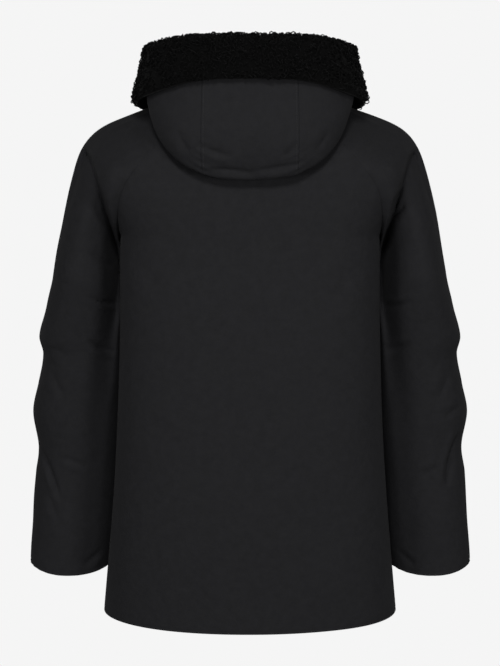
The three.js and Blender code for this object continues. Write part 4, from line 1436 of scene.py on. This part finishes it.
def stitch_template():
    """One stitch: a five-sided spindle, one unit long and one wide."""
    sides = 5
    angle = np.arange(sides) * 2 * math.pi / sides
    layers = [(-0.36, 0.42), (0.0, 0.5), (0.36, 0.42)]
    rings = [np.column_stack([np.cos(angle) * r, np.full(sides, x), np.sin(angle) * r]) for x, r in layers]
    points = np.concatenate([*rings, [[0, -0.5, -0.3], [0, 0.5, -0.3]]])
    index = closed_round(np.arange(3 * sides).reshape(3, sides))
    low = np.stack([index[0, :-1], index[0, 1:], np.full(sides, 3 * sides)], axis=-1)
    high = np.stack([index[-1, 1:], index[-1, :-1], np.full(sides, 3 * sides + 1)], axis=-1)
    return points, [patch(index)[:, ::-1], np.concatenate([low, high])]


def stitch_row(points, normals):
    """Origins and axes of the stitches along a line on the cloth, at even spacing."""
    reached = line_lengths(points)
    at = np.arange(STITCH_SPACING, reached[-1] - STITCH_SPACING, STITCH_SPACING)
    origin = line_at(at, reached, points)
    along = unit(line_at(at + 0.5, reached, points) - origin)
    normal = unit(line_at(at, reached, normals))
    return origin, np.stack([np.cross(along, normal), along, normal], axis=1)


def stitches_beside(name, shape, distance, from_first):
    """Origins and axes of the stitches at a distance in from a side edge of a finished piece.

    The piece's outer face is read back from its mesh, whose first points are that grid, row after row.
    """
    vertices = bpy.data.objects[name].data.vertices
    co = np.zeros(len(vertices) * 3, np.float32)
    vertices.foreach_get("co", co)
    outer = co.reshape(-1, 3)[: shape[0] * shape[1]].reshape(shape) / MM
    first, last, _, _ = from_edges(outer)
    away = first if from_first else last
    order = slice(None) if from_first else slice(None, None, -1)
    values = np.concatenate([outer, normals_of(outer)], axis=-1)
    line = np.array([
        [np.interp(distance, reached[order], row[order, k]) for k in range(6)]
        for reached, row in zip(away, values)
    ])
    return stitch_row(line[:, :3], line[:, 3:])


class PARKA_OT_stitching(bpy.types.Operator):
    """Makes the visible rows of stitches beside the seams"""

    bl_idname = "parka.stitching"
    bl_label = "Stitching"

    def execute(self, context):
        front, middle = front_grid().shape, hood_centre_grid().shape
        rows = [
            stitches_beside("front_left_cloth", front, ZIP_STITCHES_IN, True),
            stitches_beside("front_right_cloth", front, ZIP_STITCHES_IN, False),
            stitches_beside("hood_centre_cloth", middle, HOOD_STITCHES_IN, True),
            stitches_beside("hood_centre_cloth", middle, HOOD_STITCHES_IN, False),
        ]
        origin, axes = (np.concatenate(part) for part in zip(*rows))
        sizes = np.tile(STITCH_SIZE, (len(origin), 1))
        made = swarm("seam_stitches", stitch_template(), origin, axes, sizes)
        use_material(made, sewing_thread(context.scene.parka))
        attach(made, BODY)
        return {"FINISHED"}


class PARKA_OT_stage(bpy.types.Operator):
    """Makes the camera, the pale floor and the soft studio light"""

    bl_idname = "parka.stage"
    bl_label = "Camera, floor and light"

    DISTANCE = 2.8
    AIM_HEIGHT = -0.2405
    SHIFT = -0.08
    LENS = 101.5
    FLOOR = -1.25
    FLOOR_SIZE = 40.0
    PALE = "#f5f5f5"
    WORLD_LIGHT = 0.13
    LIT_HEIGHT = -0.3
    # Name, place, size across and power
    LIGHTS = (
        ("key light", (0.1, 2.9, 1.7), 0.8, 41),
        ("left fill light", (-1.9, 2.7, -0.1), 0.8, 23),
        ("right fill light", (1.9, 2.7, -0.1), 0.8, 18),
        ("front light", (-0.5, -3.3, 0.2), 1.1, 52),
        ("second front light", (0.6, -3.3, 0.0), 1.1, 40),
    )

    def execute(self, context):
        tilt = math.atan(self.AIM_HEIGHT / self.DISTANCE)
        lens = bpy.data.cameras.new("camera")
        lens.lens = self.LENS
        lens.sensor_width = 36
        lens.shift_y = self.SHIFT
        camera = bpy.data.objects.new("camera", lens)
        camera.location = (0, self.DISTANCE, 0)
        camera.rotation_euler = (math.pi / 2 + tilt, 0, math.pi)
        context.scene.collection.objects.link(camera)
        context.scene.camera = camera
        context.scene.view_settings.view_transform = "Standard"

        world = bpy.data.worlds.new("studio")
        world.use_nodes = True
        tree = world.node_tree
        tree.nodes.clear()
        pale = rgba(linear(self.PALE))
        seen = add(tree, "ShaderNodeBackground", [("Color", pale), ("Strength", 1.0)])
        lit = add(tree, "ShaderNodeBackground", [("Color", (1, 1, 1, 1)), ("Strength", self.WORLD_LIGHT)])
        path = add(tree, "ShaderNodeLightPath")
        mixed = add(tree, "ShaderNodeMixShader", [
            (0, path.outputs["Is Camera Ray"]),
            (1, lit.outputs[0]),
            (2, seen.outputs[0]),
        ])
        add(tree, "ShaderNodeOutputWorld", [("Surface", mixed.outputs[0])])
        context.scene.world = world

        corners = np.array([[-1, -1, 0], [1, -1, 0], [1, 1, 0], [-1, 1, 0]]) * self.FLOOR_SIZE / MM
        floor = mesh_object("floor", corners + (0, 0, self.FLOOR / MM), [np.array([[0, 1, 2, 3]])])
        made, tree = new_material("matte pale paint")
        glow = add(tree, "ShaderNodeEmission", [("Color", pale), ("Strength", 1.0)])
        add(tree, "ShaderNodeOutputMaterial", [("Surface", glow.outputs[0])])
        use_material(floor, made)
        floor.visible_diffuse = floor.visible_glossy = False

        target = np.array([0, 0, self.LIT_HEIGHT])
        for name, place, across, power in self.LIGHTS:
            light = bpy.data.lights.new(name, "AREA")
            light.shape = "DISK"
            light.size = across
            light.energy = power * context.scene.parka.light
            lamp = bpy.data.objects.new(name, light)
            lamp.location = place
            away = np.array(place) - target
            turn = math.atan2(away[0], -away[1])
            lamp.rotation_euler = (math.atan2(math.hypot(away[0], away[1]), away[2]), 0, turn)
            context.scene.collection.objects.link(lamp)
        return {"FINISHED"}


class PARKA_PT_sidebar(bpy.types.Panel):
    """Sizes, colours and the steps that make the parka"""

    bl_idname = "PARKA_PT_sidebar"
    bl_label = "Parka"
    bl_space_type = "VIEW_3D"
    bl_region_type = "UI"
    bl_category = "Parka"

    def draw(self, context):
        for key in ParkaSettings.__annotations__:
            self.layout.prop(context.scene.parka, key)
        for step in STEPS:
            self.layout.operator(step.bl_idname)


STEPS = (
    PARKA_OT_stage,
    PARKA_OT_body,
    PARKA_OT_sleeves,
    PARKA_OT_hood,
    PARKA_OT_fleece,
    PARKA_OT_zip,
    PARKA_OT_stitching,
)
CLASSES = (ParkaSettings, *STEPS, PARKA_PT_sidebar)


def register():
    """Registers the classes and gives the scene its settings."""
    for each in CLASSES:
        bpy.utils.register_class(each)
    bpy.types.Scene.parka = bpy.props.PointerProperty(type=ParkaSettings)


def unregister():
    """Undoes what register does."""
    del bpy.types.Scene.parka
    for each in reversed(CLASSES):
        bpy.utils.unregister_class(each)


def main():
    """Makes every piece in turn."""
    register()
    bpy.ops.parka.stage()
    bpy.ops.parka.body()
    bpy.ops.parka.sleeves()
    bpy.ops.parka.hood()
    bpy.ops.parka.fleece()
    bpy.ops.parka.zip()
    bpy.ops.parka.stitching()


if __name__ == "__main__":
    main()
